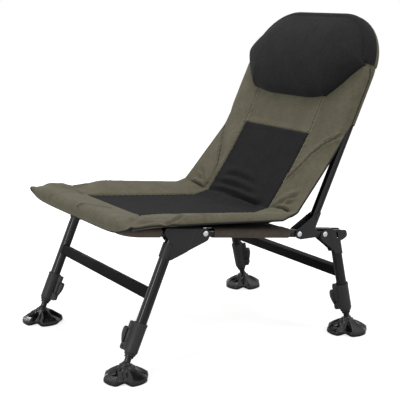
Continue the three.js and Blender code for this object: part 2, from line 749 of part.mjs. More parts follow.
// Seat sling: a sagging sheet with a sleeve round each rail and round the front tube
const slingRows = [0, railBend / 2, railBend, slingDipReach]
  .concat(panelRowShares.map((share) => mix(slingDipReach, slingEnd, share)));
function seatSlingShape() {
  const inside = railRadius + seatGap;
  const outside = inside + cloth;
  const sheet = (lift) => (u, v) => {
    const reach = slingRows[Math.round(u * (slingRows.length - 1))];
    const corner = Math.max(0, 1 - reach / railBend);
    const half = halfSpacing - railBend * (1 - Math.sqrt(1 - corner * corner));
    const w = across(v);
    return [half * w, reach, slingRise(half * w, reach) + lift];
  };
  const along = cushion(sheet(cloth), sheet(0), slingRows.length - 1, padColumns);
  const sleeves = sides.flatMap(([, sign]) => [[slingStart, frontSleeveEnd], [rearSleeveStart, slingEnd]]
    .map(([low, high]) => ring(outside, inside, low, high, tubeSides).rotateX(-Math.PI / 2)
      .translate(sign * halfSpacing, 0, 0)));
  const frontHalf = frontTubeHalf - railBend;
  const frontSleeve = ring(outside, inside, -frontHalf, frontHalf, tubeSides).rotateY(Math.PI / 2);
  const bracketWide = wrap + turningGap + cloth;
  const rooms = sides.flatMap(([, sign]) => {
    const edges = [halfSpacing - bracketWide, halfSpacing + bracketWide]
      .map((edge) => sign * edge).sort((a, b) => a - b);
    const rail = rod(inside, slingStart - cutOverrun, slingEnd + cutOverrun, tubeSides).rotateX(-Math.PI / 2);
    return [
      rail.translate(sign * halfSpacing, 0, 0),
      block(...edges, frontSleeveEnd, rearSleeveStart, -railDiameter, railDiameter),
    ];
  });
  const frontRoom = rod(inside, -sideSpacing, sideSpacing, tubeSides).rotateY(Math.PI / 2);
  return cut(join(along, frontSleeve, ...sleeves), ...rooms, frontRoom);
}
add(seat, 'seat_sling', seatSlingShape(), slingCloth);

// Back sling: a sheet in front of the back tubes with a sleeve round each
function backSlingShape() {
  const inside = backRadius + seatGap;
  const outside = inside + cloth;
  const tubeEnd = backReach - backBend - seatGap;
  const sheet = block(-halfSpacing, halfSpacing, backOffset - outside, backOffset - inside,
    backSlingStart, backSlingEnd);
  const sleeves = sides.map(([, sign]) =>
    ring(outside, inside, backSlingStart, tubeEnd, tubeSides).translate(sign * halfSpacing, backOffset, 0));
  const rooms = sides.map(([, sign]) =>
    rod(inside, backSlingStart - cutOverrun, backSlingEnd + cutOverrun, tubeSides)
      .translate(sign * halfSpacing, backOffset, 0));
  const corners = sides.map(([, sign]) => {
    const edges = [sign * (halfSpacing - railBend), sign * sideSpacing].sort((a, b) => a - b);
    return block(...edges, 0, backOffset, tubeEnd, backReach);
  });
  return cut(join(sheet, ...sleeves), ...rooms, ...corners);
}
add(back, 'back_sling', backSlingShape(), slingCloth);

// Seat pad surfaces above the rails' axes: the underside rests on the sling and its bound sides lift
// clear of the rails towards the back; the top has a padded border round a sunk panel.
const bindingRise = (reach) => mix(bindingRiseFront, bindingRiseBack, reach / seatPadBack);
const sleeveRise = railRadius + seatGap + cloth + padRest;
const bracketHalf = wrap + turningGap + cloth;
function seatUnder(w, reach) {
  if (Math.abs(w) === 1) return bindingRise(reach);
  const lift = Math.max(0, bindingRise(reach) - sleeveRise) * w ** 4;
  const overRail = Math.abs(w) * padHalfWidth > halfSpacing - bracketHalf;
  const rest = overRail ? sleeveRise + padRest : slingRise(padHalfWidth * w, reach) + cloth + padRest;
  return rest + lift;
}
function seatTop(w, reach) {
  if (Math.abs(w) === 1) return bindingRise(reach) + seatBinding;
  const onPanel = reach >= slingDipReach && Math.abs(w) * padHalfWidth <= panelHalfWidth;
  const along = reach / seatPadBack;
  if (onPanel) return mix(panelRiseFront, panelRiseBack, along);
  const borderRise = mix(borderRiseFront, borderRiseBack, along);
  return mix(seatUnder(w, reach) + padEdge, borderRise, rim(w, 36));
}

// Rows of the seat pad: a quarter turn round the front tube, the front border, then the panel
const seatRows = borderRowShares.map((share) => share * slingDipReach)
  .concat(panelRowShares.map((share) => mix(slingDipReach, seatPadBack, share)));
function seatPadShape() {
  const rollRadius = sleeveRise + padRest;
  const place = (u, v, onTop) => {
    const w = across(v);
    const x = padHalfWidth * w;
    const row = Math.round(u * (rollRows + seatRows.length));
    if (row <= rollRows) {
      const turn = mix(cornerRollAngle * w ** 4, 90, row / rollRows);
      const thick = mix(padEdge, seatRollThickness * rim(w), sine((90 * row) / rollRows) * rim(w));
      const radius = rollRadius + (onTop ? Math.max(padEdge, thick) : 0);
      return [x, -radius * cosine(turn), radius * sine(turn)];
    }
    const reach = seatRows[row - rollRows - 1];
    return [x, reach, onTop ? seatTop(w, reach) : seatUnder(w, reach)];
  };
  const rows = rollRows + seatRows.length;
  return cushion((u, v) => place(u, v, true), (u, v) => place(u, v, false), rows, padColumns);
}
add(seat, 'seat_pad', seatPadShape(), oliveCloth);

// Back pad in the back's own frame: how wide it is, and how far its faces lie in front of the tubes
const backPadHalf = (height) => {
  const bendRadius = backBend + backPadOverhang;
  const over = Math.max(0, height - (backReach - backBend));
  if (over > 0) return halfSpacing - backBend + Math.sqrt(bendRadius ** 2 - over ** 2);
  return mix(backPadHalfWidth, halfSpacing + backPadOverhang, height / (backReach - backBend));
};
const backPadRear = (w) => (Math.abs(w) === 1 ? wingEdgeForward : backPadRearward);
const backPadFace = (w, height) => {
  const end = rim(Math.max(0, (height - backPadStart) / (backPadEnd - backPadStart)));
  return backPadRear(w) + mix(padEdge, backPadThickness, rim(w) * end);
};
function backPadShape(grow) {
  const place = (u, v, onTop) => {
    const w = across(v);
    const height = mix(backPadStart - grow, backPadEnd + grow, u);
    const forward = onTop ? backPadFace(w, Math.min(height, backPadEnd)) + grow : backPadRear(w) - grow;
    return [(backPadHalf(Math.min(height, backPadEnd)) + grow) * w, backOffset - forward, height];
  };
  return cushion((u, v) => place(u, v, true), (u, v) => place(u, v, false), padRows, padColumns);
}
add(back, 'back_pad', backPadShape(0), oliveCloth);

// Crease pad: the bend of the mattress between the seat pad and the back pad, with its side wings.
// Two straight rows run to the crease, and a curve from there up to the back pad's lower end.
function creasePadShape() {
  const [c, s] = [cosine(backTurn), sine(backTurn)];
  const fromBack = (forward, rise) => {
    const y = backOffset - forward;
    return new THREE.Vector2(backPivotReach + y * c + rise * s, rise * c - y * s);
  };
  const seatEnd = seatPadBack + padSplit;
  const topRise = backPadStart - padSplit;
  const routeOf = (w, onTop) => {
    const thick = onTop ? 0 : creaseThickness;
    const thin = onTop ? padEdge : 0;
    const start = new THREE.Vector2(seatEnd, onTop ? seatTop(w, seatEnd) : seatUnder(w, seatEnd));
    const end = fromBack(onTop ? backPadFace(w, backPadStart) : backPadRear(w), topRise);
    const centre = [
      fromBack(creaseForward - thick, creaseRise - thick),
      fromBack(lumbarForward - thick, lumbarRise),
      fromBack(shoulderForward - thick, shoulderRise),
    ];
    const side = [
      fromBack(wingForward + 2 * thin, wingRise),
      fromBack(wingMiddleForward + thin, wingMiddleRise),
      fromBack(wingTopForward + thin, wingTopRise),
    ];
    const bent = centre.map((point, i) => point.lerp(side[i], Math.abs(w) ** 5));
    return { start, crease: bent[0], rise: new THREE.SplineCurve([...bent, end]) };
  };
  const place = (u, v, onTop) => {
    const w = across(v);
    const row = Math.round(u * padRows);
    const { start, crease, rise } = routeOf(w, onTop);
    const upper = (row - creaseRows) / (padRows - creaseRows);
    const point = row < creaseRows ? start.lerp(crease, row / creaseRows) : rise.getPoint(upper);
    return [mix(padHalfWidth, backPadHalf(backPadStart), u) * w, point.x, point.y];
  };
  return cushion((u, v) => place(u, v, true), (u, v) => place(u, v, false), padRows, padColumns);
}
add(seat, 'crease_pad', creasePadShape(), blackCloth);

// Headrest pillow: a thick cushion on the front of the back pad that is drawn over the top tube like a
// hood. Its columns run along the arch, its rows up the front, round the tube and down the back.
function pillowShape() {
  const run = halfSpacing - backBend;
  const bendLength = radians(hoodAngle) * backBend;
  const rows = pillowFrontRows + hoodShares.length;
  const [hoodFront, hoodBack] = [backOffset - hoodForward, backOffset + hoodRearward];
  const place = (u, v, onTop) => {
    const w = 2 * v - 1;
    const along = Math.abs(w) * (run + bendLength);
    const turn = (hoodAngle * Math.max(0, along - run)) / bendLength;
    const archX = Math.sign(w) * (Math.min(along, run) + backBend * sine(turn));
    const archZ = backReach - backBend * (1 - cosine(turn));
    const [outX, outZ] = [Math.sign(w) * sine(turn), cosine(turn)];
    const corner = Math.max(0, 2 * Math.abs(w) - 1);
    const lowX = Math.sign(w) * (corner > 0 ? mix(pillowLowHalfWidth, backPadHalf(pillowWide) - padEdge, corner)
      : 2 * Math.abs(w) * pillowLowHalfWidth);
    const lowZ = mix(pillowStart, pillowWide, corner);
    const row = Math.round(u * rows);
    if (row < pillowFrontRows) {
      const step = row / pillowFrontRows;
      const [x, z] = [mix(lowX, archX, step), mix(lowZ, archZ, step)];
      const beside = Math.min(1, Math.abs(x) / backPadHalf(Math.min(z, backPadEnd)));
      const rest = mix(backPadFace(beside, Math.min(z, backPadEnd)) - padEdge / 3, hoodForward, step ** 4);
      const full = Math.sin(Math.PI * mix(0.1, 0.85, step)) ** 0.6 * (1 - w * w) ** 0.6;
      return [x, backOffset - rest - (onTop ? mix(pillowEdge * (1 - corner / 2), pillowThickness, full) : 0), z];
    }
    const round = Math.min(row - pillowFrontRows, hoodShares.length - 1);
    const [outShare, backShare] = hoodShares[round];
    const flap = row - pillowFrontRows > round ? pillowFlap : 0;
    const thick = onTop ? pillowHood + (pillowEdge - pillowHood) * Math.max(0, 1 - 3 * backShare) : 0;
    const out = outShare * hoodReach - flap + thick * Math.sin(Math.PI * backShare);
    const y = mix(hoodFront, hoodBack, backShare) - thick * Math.cos(Math.PI * backShare);
    return [archX + outX * out, y, archZ + outZ * out];
  };
  const whole = cushion((u, v) => place(u, v, true), (u, v) => place(u, v, false), rows, pillowColumns);
  return cut(whole, backPadShape(padRest));
}
add(back, 'headrest_pillow', pillowShape(), blackCloth);

// The origin is on the ground under the middle of the whole chair.
const extent = new THREE.Box3().setFromObject(chair, true);
const middle = extent.getCenter(new THREE.Vector3());
chair.position.set(-middle.x, -middle.y, -extent.min.z);
chair.updateMatrixWorld(true);

export default chair;
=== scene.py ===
import json
import bmesh
import bpy
import numpy as np
from mathutils import Matrix, Vector


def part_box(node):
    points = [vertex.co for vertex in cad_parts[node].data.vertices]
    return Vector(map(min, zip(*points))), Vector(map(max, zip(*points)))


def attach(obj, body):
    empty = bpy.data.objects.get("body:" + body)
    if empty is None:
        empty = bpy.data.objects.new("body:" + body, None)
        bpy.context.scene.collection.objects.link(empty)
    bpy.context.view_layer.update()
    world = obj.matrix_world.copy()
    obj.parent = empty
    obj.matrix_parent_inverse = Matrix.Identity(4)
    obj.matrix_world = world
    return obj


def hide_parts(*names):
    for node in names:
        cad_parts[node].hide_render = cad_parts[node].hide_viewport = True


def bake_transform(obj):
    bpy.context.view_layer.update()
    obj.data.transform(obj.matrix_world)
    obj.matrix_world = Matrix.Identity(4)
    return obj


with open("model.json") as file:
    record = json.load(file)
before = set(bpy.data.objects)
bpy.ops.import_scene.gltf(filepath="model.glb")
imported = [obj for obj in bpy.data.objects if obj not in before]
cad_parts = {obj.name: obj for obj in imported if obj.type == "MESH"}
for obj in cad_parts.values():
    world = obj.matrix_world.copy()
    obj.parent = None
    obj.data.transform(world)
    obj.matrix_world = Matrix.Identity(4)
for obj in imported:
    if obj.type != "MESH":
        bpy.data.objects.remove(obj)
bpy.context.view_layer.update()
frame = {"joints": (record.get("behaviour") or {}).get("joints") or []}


# The camera stands in front of the chair, to the sitter's left and a little above the seat, and looks
# slightly down. Its lens gives the narrow view of a product picture from two and a half metres away.
CAMERA_PLACE = (2.124, -1.3006, 0.841)
CAMERA_TURN = 58.7
CAMERA_FALL = 11.7
CAMERA_LENS = 91.17
CAMERA_SENSOR = 36

turn, fall = np.radians([CAMERA_TURN, CAMERA_FALL])
look = Vector((-np.sin(turn) * np.cos(fall), np.cos(turn) * np.cos(fall), -np.sin(fall)))
camera = bpy.data.objects.new("camera", bpy.data.cameras.new("camera"))
camera.data.lens = CAMERA_LENS
camera.data.sensor_width = CAMERA_SENSOR
camera.location = CAMERA_PLACE
camera.rotation_mode = "QUATERNION"
camera.rotation_quaternion = look.to_track_quat("-Z", "Y")
bpy.context.scene.collection.objects.link(camera)
bpy.context.scene.camera = camera


# Seat frame: 20 mm steel tube with a 1.5 mm wall, bent to a U that is open at the back and slopes
# down towards it. It is powder coated black with a satin sheen, and the pivots cross it.
SPACING = 472
RAIL_RADIUS = 10
TUBE_WALL = 1.5
RAIL_BEND = 34
RAIL_REACH = 588
SEAT_ORIGIN = (-337.64, 333.0)
SEAT_LEAN = 7.4
STEEL_BLACK, STEEL_WORN = "#070708", "#0c0c0d"


def linear(colour):
    """The linear colour of an sRGB hex value: c / 12.92 when dark, else ((c + 0.055) / 1.055) to 2.4."""
    c = np.array([int(colour[i:i + 2], 16) for i in (1, 3, 5)]) / 255
    return (*np.where(c <= 0.04045, c / 12.92, ((c + 0.055) / 1.055) ** 2.4), 1.0)


def feed(tree, node, **links):
    """Links or sets a node's inputs by name, with _ for a space, or by _ and their number."""
    for name, value in links.items():
        socket = node.inputs[int(name[1:])] if name[1:].isdigit() else node.inputs[name.replace("_", " ")]
        if isinstance(value, bpy.types.NodeSocket):
            tree.links.new(value, socket)
        else:
            socket.default_value = value


def add(tree, kind, settings=None, **links):
    """Adds a node with its settings and feeds its inputs."""
    made = tree.nodes.new(kind)
    for name, value in (settings or {}).items():
        setattr(made, name, value)
    feed(tree, made, **links)
    return made


def new_finish(name):
    """A material with an empty tree and its Principled shader wired to the output."""
    finish = bpy.data.materials.new(name)
    finish.use_nodes = True
    tree = finish.node_tree
    tree.nodes.clear()
    shader = add(tree, "ShaderNodeBsdfPrincipled")
    add(tree, "ShaderNodeOutputMaterial", Surface=shader.outputs["BSDF"])
    return finish, tree, shader


def clouded(name, colours, cloud, dull, shine=0.5, metallic=0.0, grain=None, lift=None):
    """A finish whose colour and roughness drift with one soft noise, the cloud, through the map that dull
    gives. A finer noise, the grain, may lift the surface."""
    finish, tree, shader = new_finish(name)
    place = add(tree, "ShaderNodeTexCoord").outputs["Object"]
    drift = add(tree, "ShaderNodeTexNoise", Vector=place, **cloud).outputs["Fac"]
    ends = dict(_6=linear(colours[0]), _7=linear(colours[1]))
    tint = add(tree, "ShaderNodeMix", {"data_type": "RGBA"}, _0=drift, **ends)
    rough = add(tree, "ShaderNodeMapRange", Value=drift, **dull)
    feed(tree, shader, Base_Color=tint.outputs[2], Roughness=rough.outputs["Result"], Metallic=metallic,
         Specular_IOR_Level=shine)
    if grain:
        fine = add(tree, "ShaderNodeTexNoise", Vector=place, **grain)
        bump = add(tree, "ShaderNodeBump", Height=fine.outputs["Fac"], **lift)
        feed(tree, shader, Normal=bump.outputs["Normal"])
    return finish


def powder_coat(name, colour, worn, roughness, shine=0.3):
    """Satin powder coat on steel: the orange-peel skin of baked powder, about 1.2 mm from dimple to
    dimple, with faint dull patches from handling, about 45 mm across."""
    return clouded(name, (colour, worn), dict(Scale=1 / 0.045, Detail=3.0, Roughness=0.6),
                   dict(From_Min=0.35, From_Max=0.7, To_Min=roughness - 0.06, To_Max=roughness + 0.1), shine,
                   grain=dict(Scale=1 / 0.0012, Detail=1.0), lift=dict(Strength=0.06, Distance=0.0003))


def leaned(points, origin, degrees):
    """Puts (x, y, z) points of a leaning piece in the chair's frame. The piece turns about X through its
    origin (y, z), so that its z tips towards +Y: y is y cos + z sin, and z is z cos - y sin."""
    tip = np.radians(degrees)
    x, y, z = np.moveaxis(np.asarray(points, float), -1, 0)
    return np.stack([x, origin[0] + y * np.cos(tip) + z * np.sin(tip),
                     origin[1] - y * np.sin(tip) + z * np.cos(tip)], -1)


def rounded(corners, closed=False, steps=8):
    """A line of (u, v, radius) corners, each replaced by an arc of its radius that is tangent to both
    sides. The arc's points are the two spokes at its ends, weighted by sines of the angle left."""
    place = np.array([corner[:2] for corner in corners], float)
    count, line = len(corners), []
    for i, corner in enumerate(corners):
        radius = corner[2] if len(corner) > 2 else 0
        if radius == 0 or (not closed and i in (0, count - 1)):
            line.append(place[i][None])
            continue
        to = [place[i - 1] - place[i], place[(i + 1) % count] - place[i]]
        to = [side / np.linalg.norm(side) for side in to]
        half = np.arccos(np.clip(to[0] @ to[1], -1, 1)) / 2
        middle = (to[0] + to[1]) / np.linalg.norm(to[0] + to[1])
        centre = place[i] + middle * radius / np.sin(half)
        spokes = [place[i] + side * radius / np.tan(half) - centre for side in to]
        whole, share = np.pi - 2 * half, np.linspace(0, 1, steps + 1)[:, None]
        line.append(centre + (np.sin((1 - share) * whole) * spokes[0]
                              + np.sin(share * whole) * spokes[1]) / np.sin(whole))
    return np.concatenate(line)


def circle(radius, count):
    """Points of a circle: radius times the cosine and sine of even turns."""
    turns = np.linspace(0, 2 * np.pi, count, endpoint=False)
    return radius * np.stack([np.cos(turns), np.sin(turns)], -1)


def swept(path, normal, section):
    """Carries a section of (a, b) points along a flat path: each point is the path's, plus a times the
    side (the normal crossed with the direction) and b times the normal. One section, or one a step."""
    step = np.gradient(path, axis=0)
    side = np.cross(normal, step / np.linalg.norm(step, axis=1)[:, None])
    section = np.broadcast_to(section, (len(path), *np.shape(section)[-2:]))
    return path[:, None] + section[..., :1] * side[:, None] + section[..., 1:] * np.asarray(normal, float)


def quads(rows, columns, loop_rows=False, loop_columns=False):
    """Faces of a grid of points, row by row, with its ends joined where it loops."""
    r = np.arange(rows if loop_rows else rows - 1)[:, None]
    c = np.arange(columns if loop_columns else columns - 1)[None]
    near, far = r * columns, (r + 1) % rows * columns
    return np.stack([near + c, near + (c + 1) % columns, far + (c + 1) % columns, far + c], -1).reshape(-1, 4)


def mix(a, b, share):
    """The point that lies the given share of the way from a to b."""
    return a + (b - a) * share


def hollow(path, normal, radius, wall, count=32, edge=0.4):
    """A tube with rounded rims: the outer rings run one way along the path and the inner ones back, so
    that rows and rings both close on themselves."""
    run = np.linalg.norm(path[1] - path[0]), np.linalg.norm(path[-1] - path[-2])
    ends = [mix(path[0], path[1], edge / run[0]), mix(path[-1], path[-2], edge / run[1])]
    full = np.concatenate([path[:1], ends[:1], path[1:-1], ends[1:], path[-1:]])
    outer, inner = np.full(len(full), float(radius)), np.full(len(full), float(radius - wall))
    outer[[0, -1]] -= edge
    inner[[0, -1]] += edge
    rings = [swept(full, normal, circle(1, count) * size[:, None, None]) for size in (outer, inner)]
    grid = np.concatenate([rings[0], rings[1][::-1]])
    return grid, quads(*grid.shape[:2], True, True)


def outward(points, faces):
    """The faces, turned over if the volume under them, the sum of a . (b x c) over fans, is negative."""
    spots = points.reshape(-1, 3)
    spots = spots - spots.mean(0)
    volume = 0
    for k in range(1, faces.shape[1] - 1):
        a, b, c = spots[faces[:, 0]], spots[faces[:, k]], spots[faces[:, k + 1]]
        volume += np.einsum("ij,ij->", a, np.cross(b, c))
    return faces if volume > 0 else faces[:, ::-1]


def piece(name, shells, finishes, body, replaced=(), sharp_from=35, merge=True):
    """One named mesh from closed shells of (points in mm, faces, finish number of each face or one for
    all), turned outwards, closed at their poles, smooth below an angle in degrees and fixed to its body."""
    points, loops, sizes, numbers, base = [], [], [], [], 0
    for shell in shells:
        spots, faces = shell[0].reshape(-1, 3), outward(shell[0], shell[1])
        points.append(spots)
        loops.append((faces + base).ravel())
        sizes.append(np.full(len(faces), faces.shape[1]))
        numbers.append(np.broadcast_to(shell[2] if len(shell) > 2 else 0, len(faces)))
        base += len(spots)
    points, loops = np.concatenate(points) / 1000, np.concatenate(loops)
    sizes, numbers = np.concatenate(sizes), np.concatenate(numbers)
    mesh = bpy.data.meshes.new(name)
    mesh.vertices.add(len(points))
    mesh.vertices.foreach_set("co", points.astype(np.float32).ravel())
    mesh.loops.add(len(loops))
    mesh.loops.foreach_set("vertex_index", loops.astype(np.int32))
    mesh.polygons.add(len(sizes))
    mesh.polygons.foreach_set("loop_start", (np.cumsum(sizes) - sizes).astype(np.int32))
    mesh.polygons.foreach_set("material_index", numbers.astype(np.int32))
    mesh.update(calc_edges=True)
    if merge:
        merge_poles(mesh)
    mesh.polygons.foreach_set("use_smooth", np.ones(len(mesh.polygons), bool))
    for finish in finishes if isinstance(finishes, (list, tuple)) else [finishes]:
        mesh.materials.append(finish)
    made = bpy.data.objects.new(name, mesh)
    bpy.context.scene.collection.objects.link(made)
    mesh.shade_smooth() if sharp_from >= 180 else mesh.set_sharp_from_angle(angle=np.radians(sharp_from))
    if body:
        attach(made, body)
    if replaced:
        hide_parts(*replaced)
    return made


def merge_poles(mesh):
    """Merges points closer than a thousandth of a millimetre, which closes the poles of turned shapes."""
    shape = bmesh.new()
    shape.from_mesh(mesh)
    bmesh.ops.remove_doubles(shape, verts=shape.verts, dist=1e-6)
    bmesh.ops.dissolve_degenerate(shape, edges=shape.edges, dist=1e-7)
    shape.to_mesh(mesh)
    shape.free()


def u_path(half, low, high, bend, steps=20):
    """A flat U from (half, low) up to high, across, and down to (-half, low), with rounded corners."""
    return rounded([(half, low), (half, high, bend), (-half, high, bend), (-half, low)], steps=steps)


def on_seat(points):
    """Seat frame points (across, along, up) in the chair's frame."""
    return leaned(points, SEAT_ORIGIN, SEAT_LEAN)


steel = powder_coat("satin black powder coat", STEEL_BLACK, STEEL_WORN, 0.16, 0.4)
bent = u_path(SPACING / 2, -RAIL_REACH, 0, RAIL_BEND)
rails = np.stack([bent[:, 0], -bent[:, 1], 0 * bent[:, 0]], -1)
rings, faces = hollow(rails, (0, 0, 1), RAIL_RADIUS, TUBE_WALL)
piece("seat_frame_tube", [(on_seat(rings), faces)], steel, "seat_frame",
      ["seat_rail_left", "seat_rail_right", "seat_front_tube"])


# End plugs: a moulded black plastic plug closes the back end of each rail, with a rounded flange
# as wide as the tube. It is pushed in, and its face is slightly domed.
PLUG_FLANGE = 3
PLUG_DEPTH = 12
PLUG_GAP = 0.3
PLUG_DOME = 0.4
PLUG_SOFT, FLANGE_SOFT, FLANGE_ROUND = 1, 0.3, 1.6
SIDES = (("left", 1), ("right", -1))


def moulded(name, colour, pale, roughness, grain_mm, bump_strength=0.12, shine=0.4):
    """Moulded plastic: a spark-eroded grain from the mould, drawn coarser than it is so that it shows,
    and soft clouding about 30 mm across where the melt cooled at different speeds."""
    return clouded(name, (colour, pale), dict(Scale=1 / 0.03, Detail=2.0),
                   dict(From_Min=0.3, From_Max=0.7, To_Min=roughness - 0.05, To_Max=roughness + 0.07), shine,
                   grain=dict(Scale=1000 / grain_mm, Detail=2.0),
                   lift=dict(Strength=bump_strength, Distance=0.0002))


def turned(profile, count=48):
    """Turns (radius, height) pairs about Z: x is radius cos t, y is radius sin t, z is the height. A
    profile that starts and ends on the axis is closed by its poles."""
    profile = np.asarray(profile, float)
    heights = np.broadcast_to(profile[:, None, 1:], (len(profile), count, 1))
    grid = np.concatenate([profile[:, None, :1] * circle(1, count), heights], -1)
    return grid, quads(len(profile), count, False, True)


plug_plastic = moulded("moulded black polythene", "#161617", "#1d1d1e", 0.5, 0.8)
inside = RAIL_RADIUS - TUBE_WALL - PLUG_GAP
plug = rounded([(0, -PLUG_DEPTH), (inside, -PLUG_DEPTH, PLUG_SOFT), (inside, PLUG_GAP),
                (RAIL_RADIUS, PLUG_GAP, FLANGE_SOFT), (RAIL_RADIUS, PLUG_GAP + PLUG_FLANGE, FLANGE_ROUND),
                (0, PLUG_GAP + PLUG_FLANGE + PLUG_DOME)])
for side, sign in SIDES:
    rings, faces = turned(plug)
    laid = np.stack([rings[..., 0] + sign * SPACING / 2, rings[..., 2] + RAIL_REACH, rings[..., 1]], -1)
    piece(f"rail_plug_{side}", [(on_seat(laid), faces)], plug_plastic, "seat_frame",
          [f"rail_end_cap_{side}"])


# Back frame: 22 mm steel tube bent to a tall arch, with its ends in the back brackets. It leans back
# and carries the cloth and the mattress, and only the bare lower part of its sides is seen.
BACK_RADIUS = 11
BACK_BEND = 142
BACK_REACH = 553
BACK_START = 36
BACK_OFFSET = 33
BACK_LEAN = 25.1


def pivot(name):
    """Where a joint's axis, which runs across the chair, lies: its (y, z) in mm."""
    joint = next(joint for joint in frame["joints"] if joint["name"] == name)
    return tuple(1000 * value for value in joint["pos_m"][1:])


def on_arch(points):
    """Back frame points (across, to the rear, up) in the chair's frame."""
    return leaned(points, BACK_ORIGIN, BACK_LEAN)


BACK_ORIGIN = pivot("back_fold")
bent = u_path(SPACING / 2, BACK_START, BACK_REACH, BACK_BEND, 36)
arch = np.stack([bent[:, 0], 0 * bent[:, 0] + BACK_OFFSET, bent[:, 1]], -1)
rings, faces = hollow(arch, (0, 1, 0), BACK_RADIUS, TUBE_WALL, 36)
piece("back_frame_tube", [(on_arch(rings), faces)], steel, "back",
      ["back_tube_left", "back_tube_right", "back_top_tube"])


# Legs: 25 mm outer tubes hang from the pressed brackets, front pair and rear pair, and 21 mm inner
# tubes slide in them. A flat-sided 26 by 19 mm tube is welded across each pair.
LEG_RADIUS = 12.5
INNER_RADIUS = 10.5
INNER_WALL = 1.2
BAR_HEIGHT, BAR_DEPTH, BAR_CORNER = 26, 19, 3
BAR_WELD = 0.8
LEG_PAIRS = {
    "front": dict(origin=pivot("front_legs_fold"), lean=23.4, offset=-72.8, bar=167.4),
    "rear": dict(origin=pivot("rear_legs_fold"), lean=-12.6, offset=34.1, bar=114),
}


def up_leg(end, node):
    """How far up the leg from its pivot a node's lower and upper end lie, from its box."""
    low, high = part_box(node)
    pair = LEG_PAIRS[end]
    tip, radius = np.radians(pair["lean"]), (high.x - low.x) * 500
    heights = []
    for z, edge in ((low.z, 1), (high.z, -1)):
        rise = z * 1000 - pair["origin"][1] + pair["offset"] * np.sin(tip) + edge * radius * abs(np.sin(tip))
        heights.append(rise / np.cos(tip))
    return heights


def upright(x, y, low, high, rows=8):
    """A straight path up a leg."""
    z = np.linspace(low, high, rows)
    return np.stack([x + 0 * z, y + 0 * z, z], -1)


def rectangle(half_u, half_v, radius):
    """The outline of a rectangle about (0, 0), with rounded corners."""
    corners = ((-1, -1), (1, -1), (1, 1), (-1, 1))
    return rounded([(u * half_u, v * half_v, radius) for u, v in corners], True, 5)


bar_steel = powder_coat("matt black powder coat", STEEL_BLACK, STEEL_WORN, 0.4, 0.04)
for end, pair in LEG_PAIRS.items():
    lean = (pair["origin"], pair["lean"])
    for side, sign in SIDES:
        outer, inner = f"{end}_leg_tube_{side}", f"{end}_{side}_inner_leg"
        for what, node, radius, wall, body, count in (
                ("outer", outer, LEG_RADIUS, TUBE_WALL, f"{end}_legs", 36),
                ("inner", inner, INNER_RADIUS, INNER_WALL, inner, 32)):
            path = upright(sign * SPACING / 2, pair["offset"], *up_leg(end, node))
            rings, faces = hollow(path, (1, 0, 0), radius, wall, count)
            piece(f"{end}_{what}_tube_{side}", [(leaned(rings, *lean), faces)], steel, body,
                  [node])
    h, d = BAR_HEIGHT / 2, BAR_DEPTH / 2
    section = rectangle(h, d, BAR_CORNER)
    thin = section * [(h - TUBE_WALL) / h, (d - TUBE_WALL) / d]
    share = np.linspace(-1, 1, 9)
    path = np.stack([share, 0 * share + pair["offset"], 0 * share - pair["bar"]], -1)
    grid = np.concatenate([swept(path, (0, 1, 0), section), swept(path, (0, 1, 0), thin)[::-1]])
    coped = np.sqrt(LEG_RADIUS ** 2 - (grid[..., 1] - pair["offset"]) ** 2)
    grid[..., 0] *= SPACING / 2 - coped + BAR_WELD
    piece(f"{end}_cross_tube", [(leaned(grid, *lean), quads(*grid.shape[:2], True, True))], bar_steel,
          f"{end}_legs", [f"{end}_crossbar"])


# Leg brackets: pressed from 1.8 mm steel sheet and powder coated. The two plates lie beside the rail,
# step out over a crease to the leg tube and close round it, in front of a front leg or behind a rear.
PLATE = 1.8
PLATE_EDGE = 0.5
NARROW = 10.4
WIDE = 12.8
CREASE_RUN = 9
BRACKETS = {
    "front": dict(
        outline=[(13, 13, 12.5), (13, -13, 11), (-64.8, -82, 3), (-72.8, -82), (-72.8, -48), (-82, -44, 4),
                 (-103.8, -29.3, 4), (-103.8, -17.7, 4), (-13, 8.34)],
        crease=-29, away=-1, wrap_low=((-72.8, -82), (-87.4, -82)), wrap_top=-48, slot=None),
    "rear": dict(
        outline=[(13, 7.61), (-13, 13, 12.5), (-13, -10.4, 10), (19.5, -51, 8), (19.5, -57), (34.1, -63),
                 (34.1, -31), (48.7, -31, 3), (63, -27.6, 7), (63, -10.6, 7)],
        crease=14, away=1, wrap_low=((19.5, -57), (48.7, -69)), wrap_top=-31, slot=(31.6, 36.6, -21, -5)),
}


def span(outline, across):
    """Lowest and highest v of a closed outline at each u: where its edges cross that u, by linear
    interpolation along the edge."""
    a, b = outline[:, None], np.roll(outline, -1, 0)[:, None]
    u = np.asarray(across, float)[None]
    inside = (np.minimum(a[..., 0], b[..., 0]) <= u) & (u <= np.maximum(a[..., 0], b[..., 0]))
    run = np.where(np.abs(b[..., 0] - a[..., 0]) < 1e-9, 1, b[..., 0] - a[..., 0])
    v = a[..., 1] + (u - a[..., 0]) / run * (b[..., 1] - a[..., 1])
    return np.where(inside, v, np.inf).min(0), np.where(inside, v, -np.inf).max(0)


def capped(grid):
    """Closes a run of rings with a point at the middle of each end ring, and adds its faces."""
    ends = [np.broadcast_to(grid[i].mean(0), grid[i].shape)[None] for i in (0, -1)]
    grid = np.concatenate([ends[0], grid, ends[1]])
    return grid, quads(*grid.shape[:2], False, True)


def smooth(share):
    """Eases from 0 to 1: 3 t squared minus 2 t cubed, with t held between 0 and 1."""
    t = np.clip(share, 0, 1)
    return t * t * (3 - 2 * t)


